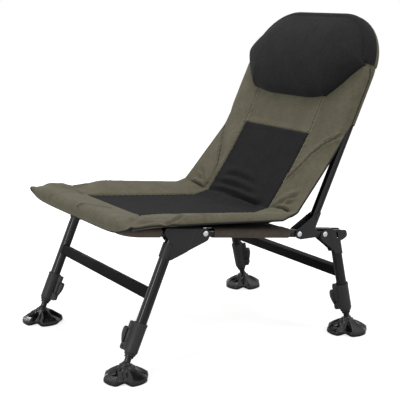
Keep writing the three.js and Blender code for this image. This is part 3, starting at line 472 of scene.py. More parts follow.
def plate_shell(outline, from_y, to_y, inner, thick, low=None, high=None, count=60):
    """A stretch of pressed plate from its side outline, in columns of y from its low to its high edge,
    with softened edges. Its inner face is at x = inner(y); low and high cut it at a slot."""
    share = (1 - np.cos(np.linspace(0, np.pi, count))) / 2
    y = mix(from_y, to_y, share)
    bottom, top = span(outline, np.clip(y, outline[:, 0].min() + 0.02, outline[:, 0].max() - 0.02))
    bottom = bottom if low is None else np.full(count, float(low))
    top = top if high is None else np.full(count, float(high))
    edge = np.minimum(PLATE_EDGE, (top - bottom) / 4)[:, None]
    tall = (top - bottom)[:, None]
    a = np.concatenate([0 * edge, edge, thick - edge, thick + 0 * edge, thick + 0 * edge, thick - edge, edge,
                        0 * edge], 1)
    z = np.concatenate([edge, 0 * edge, 0 * edge, edge, tall - edge, tall, tall, tall - edge], 1)
    y, x = y[:, None] + 0 * a, inner(y)[:, None] + a
    return capped(np.stack([x, y, bottom[:, None] + z], -1))


def wrap_shell(radius, thick, leg_y, away, low_line, top, count=33):
    """The part of a bracket that closes round a tube: a band swept half round it, from a slanted lower
    edge to a level top, with softened edges."""
    turns = np.linspace(0, np.pi, count)[:, None]
    (y0, z0), (y1, z1) = low_line
    e = PLATE_EDGE
    r = radius + np.array([[0, e, thick - e, thick, thick, thick - e, e, 0]])
    y = leg_y + away * r * np.sin(turns)
    bottom = z0 + (z1 - z0) * (y - y0) / (y1 - y0)
    lift = np.array([[e, 0, 0, e, 0, 0, 0, 0]])
    drop = np.array([[0, 0, 0, 0, e, 0, 0, e]])
    z = np.where(np.arange(8)[None] < 4, bottom + lift, top - drop)
    return capped(np.stack([r * np.cos(turns), y, z], -1))


def stepped(y, crease, away):
    """How far a leg bracket's plate lies from its middle: it steps out over the crease, away from the
    rail, from beside the rail to beside the leg tube."""
    return mix(NARROW, WIDE, smooth(away * (y - crease) / CREASE_RUN + 0.5))


bracket_steel = powder_coat("black powder coat on pressed steel", "#272728", "#323233", 0.46)
for end, shape in BRACKETS.items():
    pair, away = LEG_PAIRS[end], shape["away"]
    outline = rounded(shape["outline"], True)
    low, high = outline[:, 0].min(), outline[:, 0].max()
    parts = [(low, high, None, None)]
    if shape["slot"]:
        y0, y1, z0, z1 = shape["slot"]
        parts = [(low, y0, None, None), (y0, y1, None, z0), (y0, y1, z1, None), (y1, high, None, None)]
    plates = [plate_shell(outline, a, b, lambda y: stepped(y, shape["crease"], away), PLATE, c, d)
              for a, b, c, d in parts]
    shells = [(grid * [flip, 1, 1], faces) for grid, faces in plates for flip in (1, -1)]
    shells.append(wrap_shell(WIDE, PLATE, pair["offset"], away, shape["wrap_low"], shape["wrap_top"]))
    for side, sign in SIDES:
        shift = [sign * SPACING / 2, 0, 0]
        placed = [(leaned(grid + shift, pair["origin"], pair["lean"]), faces) for grid, faces in shells]
        piece(f"{end}_leg_bracket_{side}", placed, bracket_steel, f"{end}_legs",
              [f"{end}_bracket_{side}"])


# Back brackets: the same pressed sheet, pivoted on the rail and closed behind the back tube. A flat
# tongue runs back from each and stops on top of the rail, which holds the back at its angle.
BACK_INSIDE = 11.3
BACK_PLATE = [(-11, 7, 6), (-11, -11, 10), (9, -11, 7), (50, 7.7, 3), (50, 20, 3), (46.1, 27), (33, 27),
              (33, 68), (21.7, 54.4, 4)]
BACK_WRAP_LOW, BACK_WRAP_TOP = ((33, 27), (46.1, 30)), 68
TONGUE_FROM, TONGUE_TO, TONGUE_WIDE, TONGUE_THICK, TONGUE_SOFT = 22, 105, 18, 3, 1.2
WEB_TO, WEB_OVER = 46, 0.5
RAIL_TOP = 10.3
BACK_PIVOT_REACH = 457


def rounded_block(low, high, radius, steps=3):
    """A block with rounded edges: a ball cut in eight, each part moved out to its corner, so a point is
    the corner's sign times (half the side less the radius) plus the radius times its direction."""
    low, high = np.array(low, float), np.array(high, float)
    half = (high - low) / 2 - radius
    quarter = np.radians(np.linspace(0, 90, steps + 1))
    lon = np.concatenate([quarter + i * np.pi / 2 for i in range(4)])[None]
    lat = np.concatenate([quarter - np.pi / 2, quarter])[:, None]
    signs = np.repeat([[1, 1], [-1, 1], [-1, -1], [1, -1]], steps + 1, axis=0)
    level = np.repeat([-1, 1], steps + 1)[:, None]
    x = signs[None, :, 0] * half[0] + radius * np.cos(lat) * np.cos(lon)
    y = signs[None, :, 1] * half[1] + radius * np.cos(lat) * np.sin(lon)
    z = level * half[2] + radius * np.sin(lat) + 0 * lon
    grid, faces = capped(np.stack([x, y, z], -1))
    return grid + (low + high) / 2, faces


def on_rail(half, reach_to):
    """A block on top of the rail, from the tongue's start to a reach behind the pivot."""
    return rounded_block((-half, BACK_PIVOT_REACH + TONGUE_FROM, RAIL_TOP),
                         (half, BACK_PIVOT_REACH + reach_to, RAIL_TOP + TONGUE_THICK), TONGUE_SOFT)


outline = rounded(BACK_PLATE, True)
plate, plate_faces = plate_shell(outline, outline[:, 0].min(), outline[:, 0].max(),
                                 lambda y: BACK_INSIDE + 0 * y, PLATE, count=90)
upright_parts = [(plate * [flip, 1, 1], plate_faces) for flip in (1, -1)]
upright_parts.append(wrap_shell(BACK_INSIDE, PLATE, BACK_OFFSET, 1, BACK_WRAP_LOW, BACK_WRAP_TOP))
flat_parts = [on_rail(TONGUE_WIDE / 2, TONGUE_TO), on_rail(BACK_INSIDE + WEB_OVER, WEB_TO)]
for side, sign in SIDES:
    shift = [sign * SPACING / 2, 0, 0]
    shells = [(on_arch(grid + shift), faces) for grid, faces in upright_parts]
    shells += [(on_seat(grid + shift), faces) for grid, faces in flat_parts]
    piece(f"back_hinge_bracket_{side}", shells, bracket_steel, "back",
          [f"back_bracket_{side}"])


# Rivets: bright zinc plated steel, 8 mm through rail and brackets with low domed heads. A 5 mm one fixes
# each back tube in its bracket and is coated with it. A press leaves a fine dimple in the heads.
RIVET_HEAD, RIVET_TALL, RIVET_SHANK = 6.5, 2.6, 4
FIXING_HEAD, FIXING_TALL, FIXING_SHANK, FIXING_RISE = 4.5, 2.0, 2.5, 52
HEAD_SEAT, HEAD_SOFT = 0.3, 0.3
RIM_SHARE, DIMPLE_SHARE, DIMPLE_TURN = 0.25, 0.92, 78


def rivet_shell(half, shank, head, tall):
    """A rivet along X: a shank and two heads, each a quarter ellipse from its rim to a small dimple."""
    dome, seat = np.radians(np.linspace(0, DIMPLE_TURN, 9)), half + HEAD_SEAT
    head_line = np.stack([head * np.cos(dome), seat + tall * mix(RIM_SHARE, 1, np.sin(dome))], -1)
    end = np.concatenate([[(shank, seat), (head - HEAD_SOFT, seat)], head_line,
                          [(0, seat + tall * DIMPLE_SHARE)]])
    grid, faces = turned(np.concatenate([end[::-1] * [1, -1], end]), 40)
    return np.stack([grid[..., 2], grid[..., 0], grid[..., 1]], -1), faces


# Zinc plate is bluish white, with fine clouding about 6 mm across.
zinc = clouded("bright zinc plate", ("#d4d6d9", "#f0f1f2"), dict(Scale=1 / 0.006, Detail=3.0),
               dict(To_Min=0.22, To_Max=0.38), metallic=0.85)
pivots = [("front", NARROW, LEG_PAIRS["front"]["origin"]), ("back", BACK_INSIDE, BACK_ORIGIN),
          ("rear", NARROW, LEG_PAIRS["rear"]["origin"])]
for end, inside, origin in pivots:
    grid, faces = rivet_shell(inside + PLATE, RIVET_SHANK, RIVET_HEAD, RIVET_TALL)
    for side, sign in SIDES:
        place = grid + [sign * SPACING / 2, *origin]
        piece(f"{end}_pivot_{side}", [(place, faces)], zinc, "seat_frame",
              [f"{end}_pivot_rivet_{side}"])
grid, faces = rivet_shell(BACK_INSIDE + PLATE, FIXING_SHANK, FIXING_HEAD, FIXING_TALL)
for side, sign in SIDES:
    place = on_arch(grid + [sign * SPACING / 2, BACK_OFFSET, FIXING_RISE])
    piece(f"back_tube_fixing_{side}", [(place, faces)], bracket_steel, "back",
          [f"back_tube_rivet_{side}"])


# Leg locks: a moulded nylon collar is fixed on the foot of each outer tube and grips the inner tube. An
# ear and two lugs stand out of one side, and a lever on a dark pin between the lugs draws it tight.
COLLAR_RADIUS, COLLAR_TALL, COLLAR_RISE = 15.5, 69, 30
TUBE_GAP, SLIDE_GAP, BORE_STEP = 0.3, 0.5, 12
LIP_RADIUS, LIP_TALL, LIP_IN, LIP_RUN = 13.25, 6, 1.6, 2.4
BAND_TALL, BAND_OUT, BAND_SLOPE = 7, 0.5, 0.6
ROOT_DEPTH, SLIT_DEPTH = 3.5, 3
EAR_WIDE, EAR_REACH, EAR_TALL, EAR_TOP, EAR_SLIT, EAR_SOFT = 13, 24, 21, 1.8, 1, 1.8
FLANGE_REACH, FLANGE_HALF, FLANGE_LOW, FLANGE_OVER, FLANGE_SLIT, FLANGE_EDGE = 21.2, 5, 17.5, 4, 0.8, 1
LUG_FROM, LUG_TO, LUG_START, LUG_REACH = 4.9, 7.9, 12, 26
LUG_LOW, LUG_HIGH, LUG_SLOPE, LUG_SOFT = 1.5, 16.5, 5, 0.5
LEVER_WIDE, PADDLE_WIDE, LEVER_PIN, LEVER_RISE, LEVER_TALL = 9, 14, 21, 9, 43
LEVER_INSIDE, LEVER_OUTSIDE = 1.4, 12.4
HEEL_INSIDE, HEEL_OUTSIDE, HEEL_DROP, HEEL_SHARE = -3.4, 4.4, 4.4, 0.12
TIP_SHARE, TIP_NARROW, TIP_FRONT, TIP_REAR = 0.16, 0.45, 3, 2
BOSS_RADIUS, BOSS_SOFT = 5, 0.8
PIN_RADIUS, PIN_HEAD, PIN_HEAD_TALL, PIN_GAP, PIN_SOFT = 2, 2.6, 1, 0.4, 0.5
LOCK_TURNS = {"left": -135, "right": 45}


def slab(outline, low, high, edge):
    """A plate from a convex outline of (u, v) points, between two levels, with softened edges."""
    middle = outline.mean(0)
    size = np.linalg.norm(outline - middle, axis=1)[:, None]
    small = middle + (outline - middle) * (1 - edge / size)
    levels = [(small, low), (outline, low + edge), (outline, high - edge), (small, high)]
    return capped(np.stack([np.insert(line, 2, level, axis=1) for line, level in levels]))


def collar_shells():
    """The collar, turned about the leg, with an ear and a flange, each two blocks beside a shallow slit
    with a core in it, and two lugs. Its lever side looks along X."""
    bore, slide = LEG_RADIUS + TUBE_GAP, INNER_RADIUS + SLIDE_GAP
    band = COLLAR_RADIUS + BAND_OUT
    shells = [turned(rounded([
        (slide, -LIP_TALL), (LIP_RADIUS - LIP_IN, -LIP_TALL, 0.6), (LIP_RADIUS, -LIP_TALL + LIP_RUN, 1),
        (LIP_RADIUS, -0.6, 0.4), (COLLAR_RADIUS - 1, 0, 0.5), (COLLAR_RADIUS, 2.2, 1.2),
        (COLLAR_RADIUS, COLLAR_TALL - BAND_TALL, 0.4), (band, COLLAR_TALL - BAND_TALL + BAND_SLOPE, 0.3),
        (band, COLLAR_TALL, 1), (bore, COLLAR_TALL, 0.6), (bore, BORE_STEP), (slide, BORE_STEP),
        (slide, -LIP_TALL)], steps=4), 56)]
    root, ear_low, ear_high = COLLAR_RADIUS - ROOT_DEPTH, COLLAR_TALL - EAR_TALL, COLLAR_TALL - EAR_TOP
    ear_core, flange_core = 2 * EAR_SLIT, 1.5 * FLANGE_SLIT
    flange_high, flange_deep = ear_low + FLANGE_OVER, FLANGE_REACH - SLIT_DEPTH
    for low, high, soft in (
            ((root, -EAR_WIDE / 2, ear_low), (EAR_REACH, -EAR_SLIT, ear_high), EAR_SOFT),
            ((root, EAR_SLIT, ear_low), (EAR_REACH, EAR_WIDE / 2, ear_high), EAR_SOFT),
            ((root, -ear_core, ear_low + 2), (EAR_REACH - SLIT_DEPTH, ear_core, COLLAR_TALL - 4), 1),
            ((root, FLANGE_SLIT, FLANGE_LOW), (FLANGE_REACH, FLANGE_HALF, flange_high), FLANGE_EDGE),
            ((root, -FLANGE_HALF, FLANGE_LOW), (FLANGE_REACH, -FLANGE_SLIT, flange_high), FLANGE_EDGE),
            ((root, -flange_core, FLANGE_LOW + 1), (flange_deep, flange_core, flange_high), 0.8)):
        shells.append(rounded_block(low, high, soft))
    lug_line = rounded([(LUG_START, LUG_LOW), (LUG_REACH, LUG_LOW, 5), (LUG_REACH, LUG_HIGH, 6),
                        (LUG_START, LUG_HIGH + LUG_SLOPE)], True, 6)
    for low in (LUG_FROM, -LUG_TO):
        grid, faces = slab(lug_line, low, low + LUG_TO - LUG_FROM, LUG_SOFT)
        shells.append((grid[..., [0, 2, 1]], faces))
    return shells


def on_pin(profile, count):
    """A turned shape laid along the lever's pin, which crosses the lock from lug to lug."""
    grid, faces = turned(profile, count)
    return np.stack([grid[..., 0] + LEVER_PIN, grid[..., 2], grid[..., 1] + LEVER_RISE], -1), faces


def lever_shells():
    """The lever at rest: a run of rounded rectangles up from its heel, which eases from the arm's width to
    the paddle's and swings outwards, with its heel and tip rounded off by roots of 1 less a power. A
    boss goes round the pin."""
    run = (1 - np.cos(np.linspace(0, np.pi, 41))) / 2
    tip = np.sqrt(np.clip(1 - np.clip((run - 1 + TIP_SHARE) / TIP_SHARE, 0, 1) ** 2.2, 0.02, 1))
    heel = np.sqrt(np.clip(1 - np.clip((HEEL_SHARE - run) / HEEL_SHARE, 0, 1) ** 2, 0.05, 1))
    half = mix(LEVER_WIDE / 2, PADDLE_WIDE / 2, smooth((run - 0.2) / 0.2)) * mix(TIP_NARROW, 1, tip)
    inside = mix(HEEL_INSIDE, LEVER_INSIDE, smooth((run - 0.08) / 0.2)) + TIP_REAR * (1 - tip)
    outside = mix(HEEL_OUTSIDE, LEVER_OUTSIDE, smooth(run / 0.75)) - TIP_FRONT * (1 - tip)
    section = rectangle(1, 1, 0.5)[None]
    deep = section[..., 0] * ((outside - inside) / 2 * heel)[:, None]
    rise = (LEVER_RISE + mix(-HEEL_DROP, LEVER_TALL, run))[:, None]
    grid = np.stack([LEVER_PIN + ((inside + outside) / 2)[:, None] + deep, section[..., 1] * half[:, None],
                     rise + 0 * deep], -1)
    d = LEVER_WIDE / 2
    return [capped(grid), on_pin(rounded([(0, -d), (BOSS_RADIUS, -d, BOSS_SOFT), (BOSS_RADIUS, d, BOSS_SOFT),
                                          (0, d)]), 32)]


def pin_shells():
    """The lever's pin, with a low head at each end, outside the lugs."""
    reach = LUG_TO + PIN_GAP
    half = rounded([(PIN_RADIUS, 0), (PIN_RADIUS, reach), (PIN_HEAD, reach),
                    (PIN_HEAD, reach + PIN_HEAD_TALL, PIN_SOFT), (0, reach + PIN_HEAD_TALL)])[1:]
    return [on_pin(np.concatenate([half[::-1] * [1, -1], half]), 24)]


def on_leg(grid, ball, swing, lean):
    """Turns a shape about the leg, its lever side at the swing, and sets it up the leg from the ball."""
    x, y, z = np.moveaxis(grid, -1, 0)
    spun = np.stack([x * np.cos(swing) - y * np.sin(swing) + ball[0],
                     x * np.sin(swing) + y * np.cos(swing), z + COLLAR_RISE], -1)
    return leaned(spun, ball[1:], lean)


lock_nylon = moulded("moulded dark grey nylon", "#29292b", "#323234", 0.5, 1.0, 0.2)
balls = {joint["name"][:-len("_foot_tilt")]: 1000 * np.array(joint["pos_m"])
         for joint in frame["joints"] if joint["name"].endswith("_foot_tilt")}
collar, lever, pin = collar_shells(), lever_shells(), pin_shells()
for name, ball in balls.items():
    end, side = name.split("_")
    placing = (ball, np.radians(LOCK_TURNS[side]), LEG_PAIRS[end]["lean"])
    for what, shells, finish, body, slot, node in (
            ("collar", collar, lock_nylon, f"{end}_legs", "lock_plastic", "lock_collar"),
            ("lever_arm", lever, lock_nylon, f"{name}_lever", "lock_plastic", "lock_lever"),
            ("pin", pin, bracket_steel, f"{end}_legs", "rivets", "lever_pin")):
        placed = [(on_leg(grid, *placing), faces) for grid, faces in shells]
        piece(f"{name}_{what}", placed, finish, body, [f"{name}_{node}"])


# Ball stems and mud feet: black nylon. A plug in the inner tube ends in a neck and ball, and the foot's
# socket clips over the ball. The foot spreads into four fluted lobes that stand on soft ground.
BALL_RADIUS, NECK_RADIUS, NECK_START = 11.5, 7.5, 10
STEM_FLANGE, STEM_LOW, PLUG_RADIUS, PLUG_TOP = 2.5, 18.7, 9, 35
FOOT_RADIUS, BALL_HEIGHT, SOCKET, SOCKET_RIM = 52.5, 32, 12.3, 3.2
SIDE_NOTCH, FOOT_NOTCH, FOOT_ARCH, OPEN_TURN = 4, 14, 4, 135
RIB_TALL, RIB_WIDE, DISH, WEB, RIB_TURN, LOBE_TURN, LOBE_START = 2.0, 2.2, 3.0, 0.5, 23, 41, 17
NOTCH_FROM, NOTCH_RUN = 20, 25
POCKET_REACH, POCKET_WIDE, POCKET_DEEP = 21, 6.5, 13
PEG_HOLE, PEG_REACH, PEG_TURN, DRILL_REACH = 3, 23, 45, 60
FOOT_TURNS, FOOT_SHARP = 144, 28
FOOT_LINE = [(0, -SOCKET), (6, -10.7, 4), (10.7, -6, 4), (SOCKET, 0, 2), (11.9, SOCKET_RIM),
             (14.9, SOCKET_RIM, 1.2), (17.2, -7, 4), (22, -18, 6), (38, -25.5, 10), (50.5, -28, 2),
             (FOOT_RADIUS, -29.5, 1), (49.5, -BALL_HEIGHT, 1), (44.5, -BALL_HEIGHT, 1), (26.3, -24, 4),
             (0, -21.8)]
RIDGE = [(14, 1), (17, -1), (30, -8.5), (40, -14), (49, -19), (50.6, -20.5), (51.6, -25),
         (FOOT_RADIUS, -29.5)]
# Two feet are turned about the upright, as they happen to stand.
FOOT_YAW = {"front_left": 13, "rear_right": 13}


def foot_surface():
    """The foot about its ball: a turned profile, from the socket over the rim to the sole. Its top is
    lifted to a ridge along each lobe, with two ribs and a dish between them, less a web in the valleys
    and two pockets beside the hub. Notches draw the rim in between the lobes, two of them deeper and
    arched up from the ground."""
    line = rounded(FOOT_LINE, steps=6)
    turns = np.linspace(0, 360, FOOT_TURNS, endpoint=False)[None]
    radius, height = line[:, :1], line[:, 1:]
    x, y = radius * np.cos(np.radians(turns)), radius * np.sin(np.radians(turns))
    outness = np.clip((radius - LOBE_START) / (FOOT_RADIUS - LOBE_START), 0, 1)
    from_lobe = np.abs((turns + 45) % 90 - 45)
    valley = smooth((from_lobe - RIB_TURN) / (LOBE_TURN - RIB_TURN))
    rib = np.exp(-((from_lobe - RIB_TURN) / RIB_WIDE) ** 2)
    place = np.arange(len(line))
    last = np.argmin(np.abs(line[:, 0] - FOOT_RADIUS)) + 2
    is_top = ((place > np.argmax(line[:, 1] >= SOCKET_RIM - 0.1)) & (place < last))[:, None]
    rise = np.interp(radius[:, 0], *np.array(RIDGE).T)[:, None] - height
    swell = np.sin(np.pi * outness ** 0.8) ** 0.6
    dish = DISH * (1 - (from_lobe / RIB_TURN) ** 2) * (from_lobe < RIB_TURN)
    lift = np.where(is_top, np.maximum(rise, 0) * (1 - WEB * valley) + swell * (RIB_TALL * rib - dish), 0)
    pocket = np.hypot(x, np.abs(y) - POCKET_REACH) / POCKET_WIDE
    lift = lift - np.where(is_top, POCKET_DEEP * np.exp(-pocket ** 4), 0)
    notch = smooth((from_lobe - NOTCH_FROM) / NOTCH_RUN)
    open_side = (1 + np.cos(np.radians(2 * (turns - OPEN_TURN)))) / 2
    reach = radius - mix(SIDE_NOTCH, FOOT_NOTCH, open_side) * notch * outness
    arch = FOOT_ARCH * open_side * notch * outness
    return np.stack([reach * np.cos(np.radians(turns)), reach * np.sin(np.radians(turns)),
                     np.maximum(height + lift, -BALL_HEIGHT) + arch], -1)


def pierced(name, grid, radius, reach, turn):
    """A turned shape with a round hole bored down through it, at a reach and turn from its axis."""
    faces = quads(*grid.shape[:2], False, True)
    made = piece(name, [(grid, faces)], foot_nylon, None, sharp_from=FOOT_SHARP)
    low, high = -DRILL_REACH, DRILL_REACH
    drill, faces = turned([(0, low), (radius, low), (radius, high), (0, high)], 20)
    drill = drill + [reach * np.cos(np.radians(turn)), reach * np.sin(np.radians(turn)), 0]
    tool = piece("drill", [(drill, faces)], foot_nylon, None)
    cut = made.modifiers.new("hole", "BOOLEAN")
    cut.operation, cut.object, cut.solver = "DIFFERENCE", tool, "EXACT"
    shape = bpy.data.meshes.new_from_object(made.evaluated_get(bpy.context.evaluated_depsgraph_get()))
    for spent in (made, tool):
        bpy.data.meshes.remove(spent.data)
    shape.set_sharp_from_angle(angle=np.radians(FOOT_SHARP))
    return shape


foot_nylon = moulded("moulded black nylon with a polish", "#0a0a0b", "#101011", 0.25, 1.6, 0.04, 0.45)
neck_turn = np.degrees(np.arcsin(NECK_RADIUS / BALL_RADIUS))
ball_arc = np.radians(np.linspace(180, neck_turn, 20))
stem_line = np.concatenate([
    np.stack([BALL_RADIUS * np.sin(ball_arc), BALL_RADIUS * np.cos(ball_arc)], -1),
    rounded([(NECK_RADIUS, NECK_START), (NECK_RADIUS, STEM_LOW, 1), (INNER_RADIUS, STEM_LOW, 0.5),
             (INNER_RADIUS, STEM_LOW + STEM_FLANGE, 0.4), (PLUG_RADIUS, STEM_LOW + STEM_FLANGE),
             (PLUG_RADIUS, PLUG_TOP, 1), (0, PLUG_TOP)])])
stem, stem_faces = turned(stem_line, 40)
bored = pierced("foot_blank", foot_surface(), PEG_HOLE, PEG_REACH, PEG_TURN)
for name, ball in balls.items():
    lean = LEG_PAIRS[name.split("_")[0]]["lean"]
    piece(f"{name}_stem", [(leaned(stem + [ball[0], 0, 0], ball[1:], lean), stem_faces)], foot_nylon,
          f"{name}_inner_leg", [f"{name}_ball_stem"])
    mesh = bored.copy()
    mesh.name = f"{name}_swivel_foot"
    yaw = Matrix.Rotation(np.radians(FOOT_YAW.get(name, 0)), 4, "Z")
    mesh.transform(Matrix.Translation(Vector(ball) / 1000) @ yaw)
    foot = bpy.data.objects.new(f"{name}_swivel_foot", mesh)
    bpy.context.scene.collection.objects.link(foot)
    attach(foot, f"{name}_foot")
    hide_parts(f"{name}_mud_foot")


# Seat sling: coated brown polyester cloth, drawn 1.2 mm thick and sewn into sleeves round the front tube
# and the rails. The sleeves leave the rails bare where the front brackets pivot. It carries the mattress.
CLOTH = 1.2
SLEEVE_GAP = 0.5
SLING_RISE = RAIL_RADIUS + 0.3
SLING_LENGTH = 431
SLING_EDGE = 219
SLEEVE_LAP, LAP_OVER, SLEEVE_STEP = 26, 0.2, 20
SLEEVE_TURNS = (-18, 250)
SEAT_SLEEVE = (219, 431)
FRONT_SLEEVE_END = 82
SLING_SAG, SLING_SAG_BACK, SLING_FRONT = 17, 3, 86


def woven(name, colour, pale, thread_mm, roughness, sheen, slub=0.3, bump_strength=0.25, shine=0.12):
    """Plain weave drawn on the piece's weave map, which is in metres: two waves cross, one for each set
    of threads, and noise stretched along each set makes the slubs. Wear shows as pale clouds. The real
    threads are too fine to show at this distance, so they are drawn 1.6 to 1.8 mm apart."""
    finish, tree, shader = new_finish(name)
    place = add(tree, "ShaderNodeUVMap", {"uv_map": "weave"}).outputs["UV"]
    pitch = 1000 / thread_mm
    parts = add(tree, "ShaderNodeSeparateXYZ", Vector=place)
    waves, slubs = [], []
    for axis, stretch in (("X", (0.2, 1, 1)), ("Y", (1, 0.2, 1))):
        turn = add(tree, "ShaderNodeMath", {"operation": "MULTIPLY"}, _0=parts.outputs[axis],
                   _1=np.pi * pitch)
        wave = add(tree, "ShaderNodeMath", {"operation": "SINE"}, _0=turn.outputs[0])
        waves.append(add(tree, "ShaderNodeMath", {"operation": "ABSOLUTE"}, _0=wave.outputs[0]).outputs[0])
        laid = add(tree, "ShaderNodeMapping", Vector=place, Scale=stretch).outputs["Vector"]
        slubs.append(add(tree, "ShaderNodeTexNoise", Vector=laid, Scale=pitch / 2, Detail=2.0).outputs["Fac"])
    cloth = add(tree, "ShaderNodeMath", {"operation": "MULTIPLY"}, _0=waves[0], _1=waves[1])
    slubbed = add(tree, "ShaderNodeMath", {"operation": "ADD"}, _0=slubs[0], _1=slubs[1]).outputs[0]
    cloud = add(tree, "ShaderNodeTexNoise", Vector=place, Scale=1 / 0.05, Detail=4.0, Roughness=0.6)
    share = add(tree, "ShaderNodeMapRange", Value=slubbed, From_Min=0.7, From_Max=1.3, To_Min=0.5 - slub,
                To_Max=0.5 + slub)
    worn = add(tree, "ShaderNodeMapRange", Value=cloud.outputs["Fac"], From_Min=0.3, From_Max=0.75,
               To_Min=-0.25, To_Max=0.3)
    both = add(tree, "ShaderNodeMath", {"operation": "ADD", "use_clamp": True}, _0=share.outputs["Result"],
               _1=worn.outputs["Result"])
    tint = add(tree, "ShaderNodeMix", {"data_type": "RGBA"}, _0=both.outputs[0], _6=linear(colour),
               _7=linear(pale))
    height = add(tree, "ShaderNodeMath", {"operation": "ADD"}, _0=cloth.outputs[0], _1=slubbed)
    bump = add(tree, "ShaderNodeBump", Height=height.outputs[0], Strength=bump_strength,
               Distance=thread_mm / 4000)
    feed(tree, shader, Base_Color=tint.outputs[2], Normal=bump.outputs["Normal"], Roughness=roughness,
         Sheen_Weight=sheen, Sheen_Roughness=0.45, Specular_IOR_Level=shine)
    return finish


def weave_map(made, *charts):
    """Writes the weave map of a piece of folded sheets from the (u, v) in metres of each sheet's points,
    which its underside shares."""
    mesh = made.data
    chart = np.concatenate([np.concatenate([c, c[:, ::-1]], 1).reshape(-1, 2) for c in charts])
    corners = np.empty(len(mesh.loops), np.int32)
    mesh.loops.foreach_get("vertex_index", corners)
    layer = mesh.uv_layers.new(name="weave")
    layer.uv.foreach_set("vector", np.asarray(chart, np.float32)[corners].ravel())


def chart_of(across, along):
    """A sheet's chart in metres, from its measures in mm across and along, spread over its whole grid."""
    return np.stack([across + 0 * along, along + 0 * across], -1) / 1000


def folded(sheet, under):
    """Closes two matching grids, one above the other, into one shell with its four sides, and gives
    the faces in the order top and bottom bands, then the two ends."""
    rows, columns = sheet.shape[:2]
    grid = np.concatenate([sheet, under[:, ::-1]], 1)
    ring = 2 * columns
    j = np.arange(columns - 1)
    ends = []
    for row, turn in ((0, 1), (rows - 1, -1)):
        base = row * ring
        corners = [base + j, base + ring - 1 - j, base + ring - 2 - j, base + j + 1]
        ends.append(np.stack(corners, -1)[:, ::turn])
    return grid, np.concatenate([quads(rows, ring, False, True), *ends])


def seat_rise(x, s):
    """How high the cloth lies over the rails' axes: its rise at the rails, less a sag that falls with the
    square of the share across, deepest behind the front tube and nearly gone at the back."""
    back = np.clip((s - SLING_FRONT) / (SLING_LENGTH - SLING_FRONT), 0, 1)
    sag = SLING_SAG * np.clip(s / SLING_FRONT, 0, 1) * (1 - back) + SLING_SAG_BACK * back
    return SLING_RISE - sag * np.clip(1 - (x / (SPACING / 2)) ** 2, 0, 1)


def run_along(line):
    """How far along a line of points each of them lies."""
    return np.concatenate([[0], np.cumsum(np.linalg.norm(np.diff(line, axis=0), axis=1))])


def finer(line, count, longest=0):
    """Splits every stretch of a line that is longer than a length into a count of even steps."""
    line = np.asarray(line, float)
    share = np.linspace(0, 1, count, endpoint=False)[:, None]
    return np.concatenate([mix(a, b, share) if np.linalg.norm(b - a) > longest else a[None]
                           for a, b in zip(line[:-1], line[1:])])


def sleeve_line(radius, turn_from, turn_to, count=30):
    """Points (across, up) round a tube, from one turn to the other, in degrees from straight up."""
    turn = np.radians(np.linspace(turn_from, turn_to, count))
    return np.stack([radius * np.sin(turn), radius * np.cos(turn)], -1)


def cloth_section(line):
    """Which way the outer face of a cloth looks at each point of its section, square to the steps, and
    how far along the section the point lies."""
    step = np.gradient(line, axis=0)
    out = np.stack([-step[:, 1], step[:, 0]], -1) / np.linalg.norm(step, axis=1)[:, None]
    out[0], out[-1] = (0, 1), (0, -1)
    return out, run_along(line)


def seat_cloth():
    """The sheet between the rails as two grids, top and under, and its chart."""
    s = np.linspace(0, SLING_LENGTH, 60)[:, None]
    x = np.linspace(-SLING_EDGE, SLING_EDGE, 61)[None]
    top = np.stack([x + 0 * s, s + 0 * x, seat_rise(x, s)], -1)
    return top, top - [0, 0, CLOTH], chart_of(x, s)


def seat_sleeve(path):
    """A sleeve carried along a flat path: a lap on the sheet, once round the tube, and back under the
    sheet. The side of each ring that faces the sheet is the path's left."""
    lap = [(-SLEEVE_LAP, 0)]
    line = np.concatenate([lap, sleeve_line(RAIL_RADIUS + SLEEVE_GAP, *SLEEVE_TURNS), lap])
    out, run = cloth_section(line)
    low = swept(path, (0, 0, 1), line * [-1, 1])
    top = swept(path, (0, 0, 1), (line + out * CLOTH) * [-1, 1])
    rise = seat_rise(low[:, 0, 0], low[:, 0, 1])
    low[:, 0, 2], top[:, 0, 2] = rise, rise + CLOTH + LAP_OVER
    low[:, -1, 2], top[:, -1, 2] = rise - 2 * CLOTH, rise - 3 * CLOTH
    return top, low, chart_of(run[None], run_along(path)[:, None])


def cloth_piece(name, parts, finish, place):
    """Makes one cloth piece of several sewn parts, each a pair of grids with its chart."""
    shells = [folded(place(top), place(low)) for top, low, _ in parts]
    made = piece(name, shells, finish, None, sharp_from=50, merge=False)
    weave_map(made, *[chart for _, _, chart in parts])
    return made


sling_brown = woven("brown polyester sling cloth", "#4d453e", "#635850", 1.6, 0.8, 0.05)
parts = [seat_cloth()]
for _, sign in SIDES:
    s = np.linspace(*SEAT_SLEEVE, 16)
    top, low, chart = seat_sleeve(np.stack([0 * s + SPACING / 2, s, 0 * s], -1))
    parts.append((top * [sign, 1, 1], low * [sign, 1, 1], chart))
front = u_path(SPACING / 2, -FRONT_SLEEVE_END, 0, RAIL_BEND)[::-1]
front = np.concatenate([finer(front, 8, SLEEVE_STEP), front[-1:]])
parts.append(seat_sleeve(np.stack([-front[:, 0], -front[:, 1], 0 * front[:, 0]], -1)[::-1]))
seat_sling = cloth_piece("seat_sling_cloth", parts, sling_brown, on_seat)
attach(seat_sling, "seat_frame")
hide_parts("seat_sling")


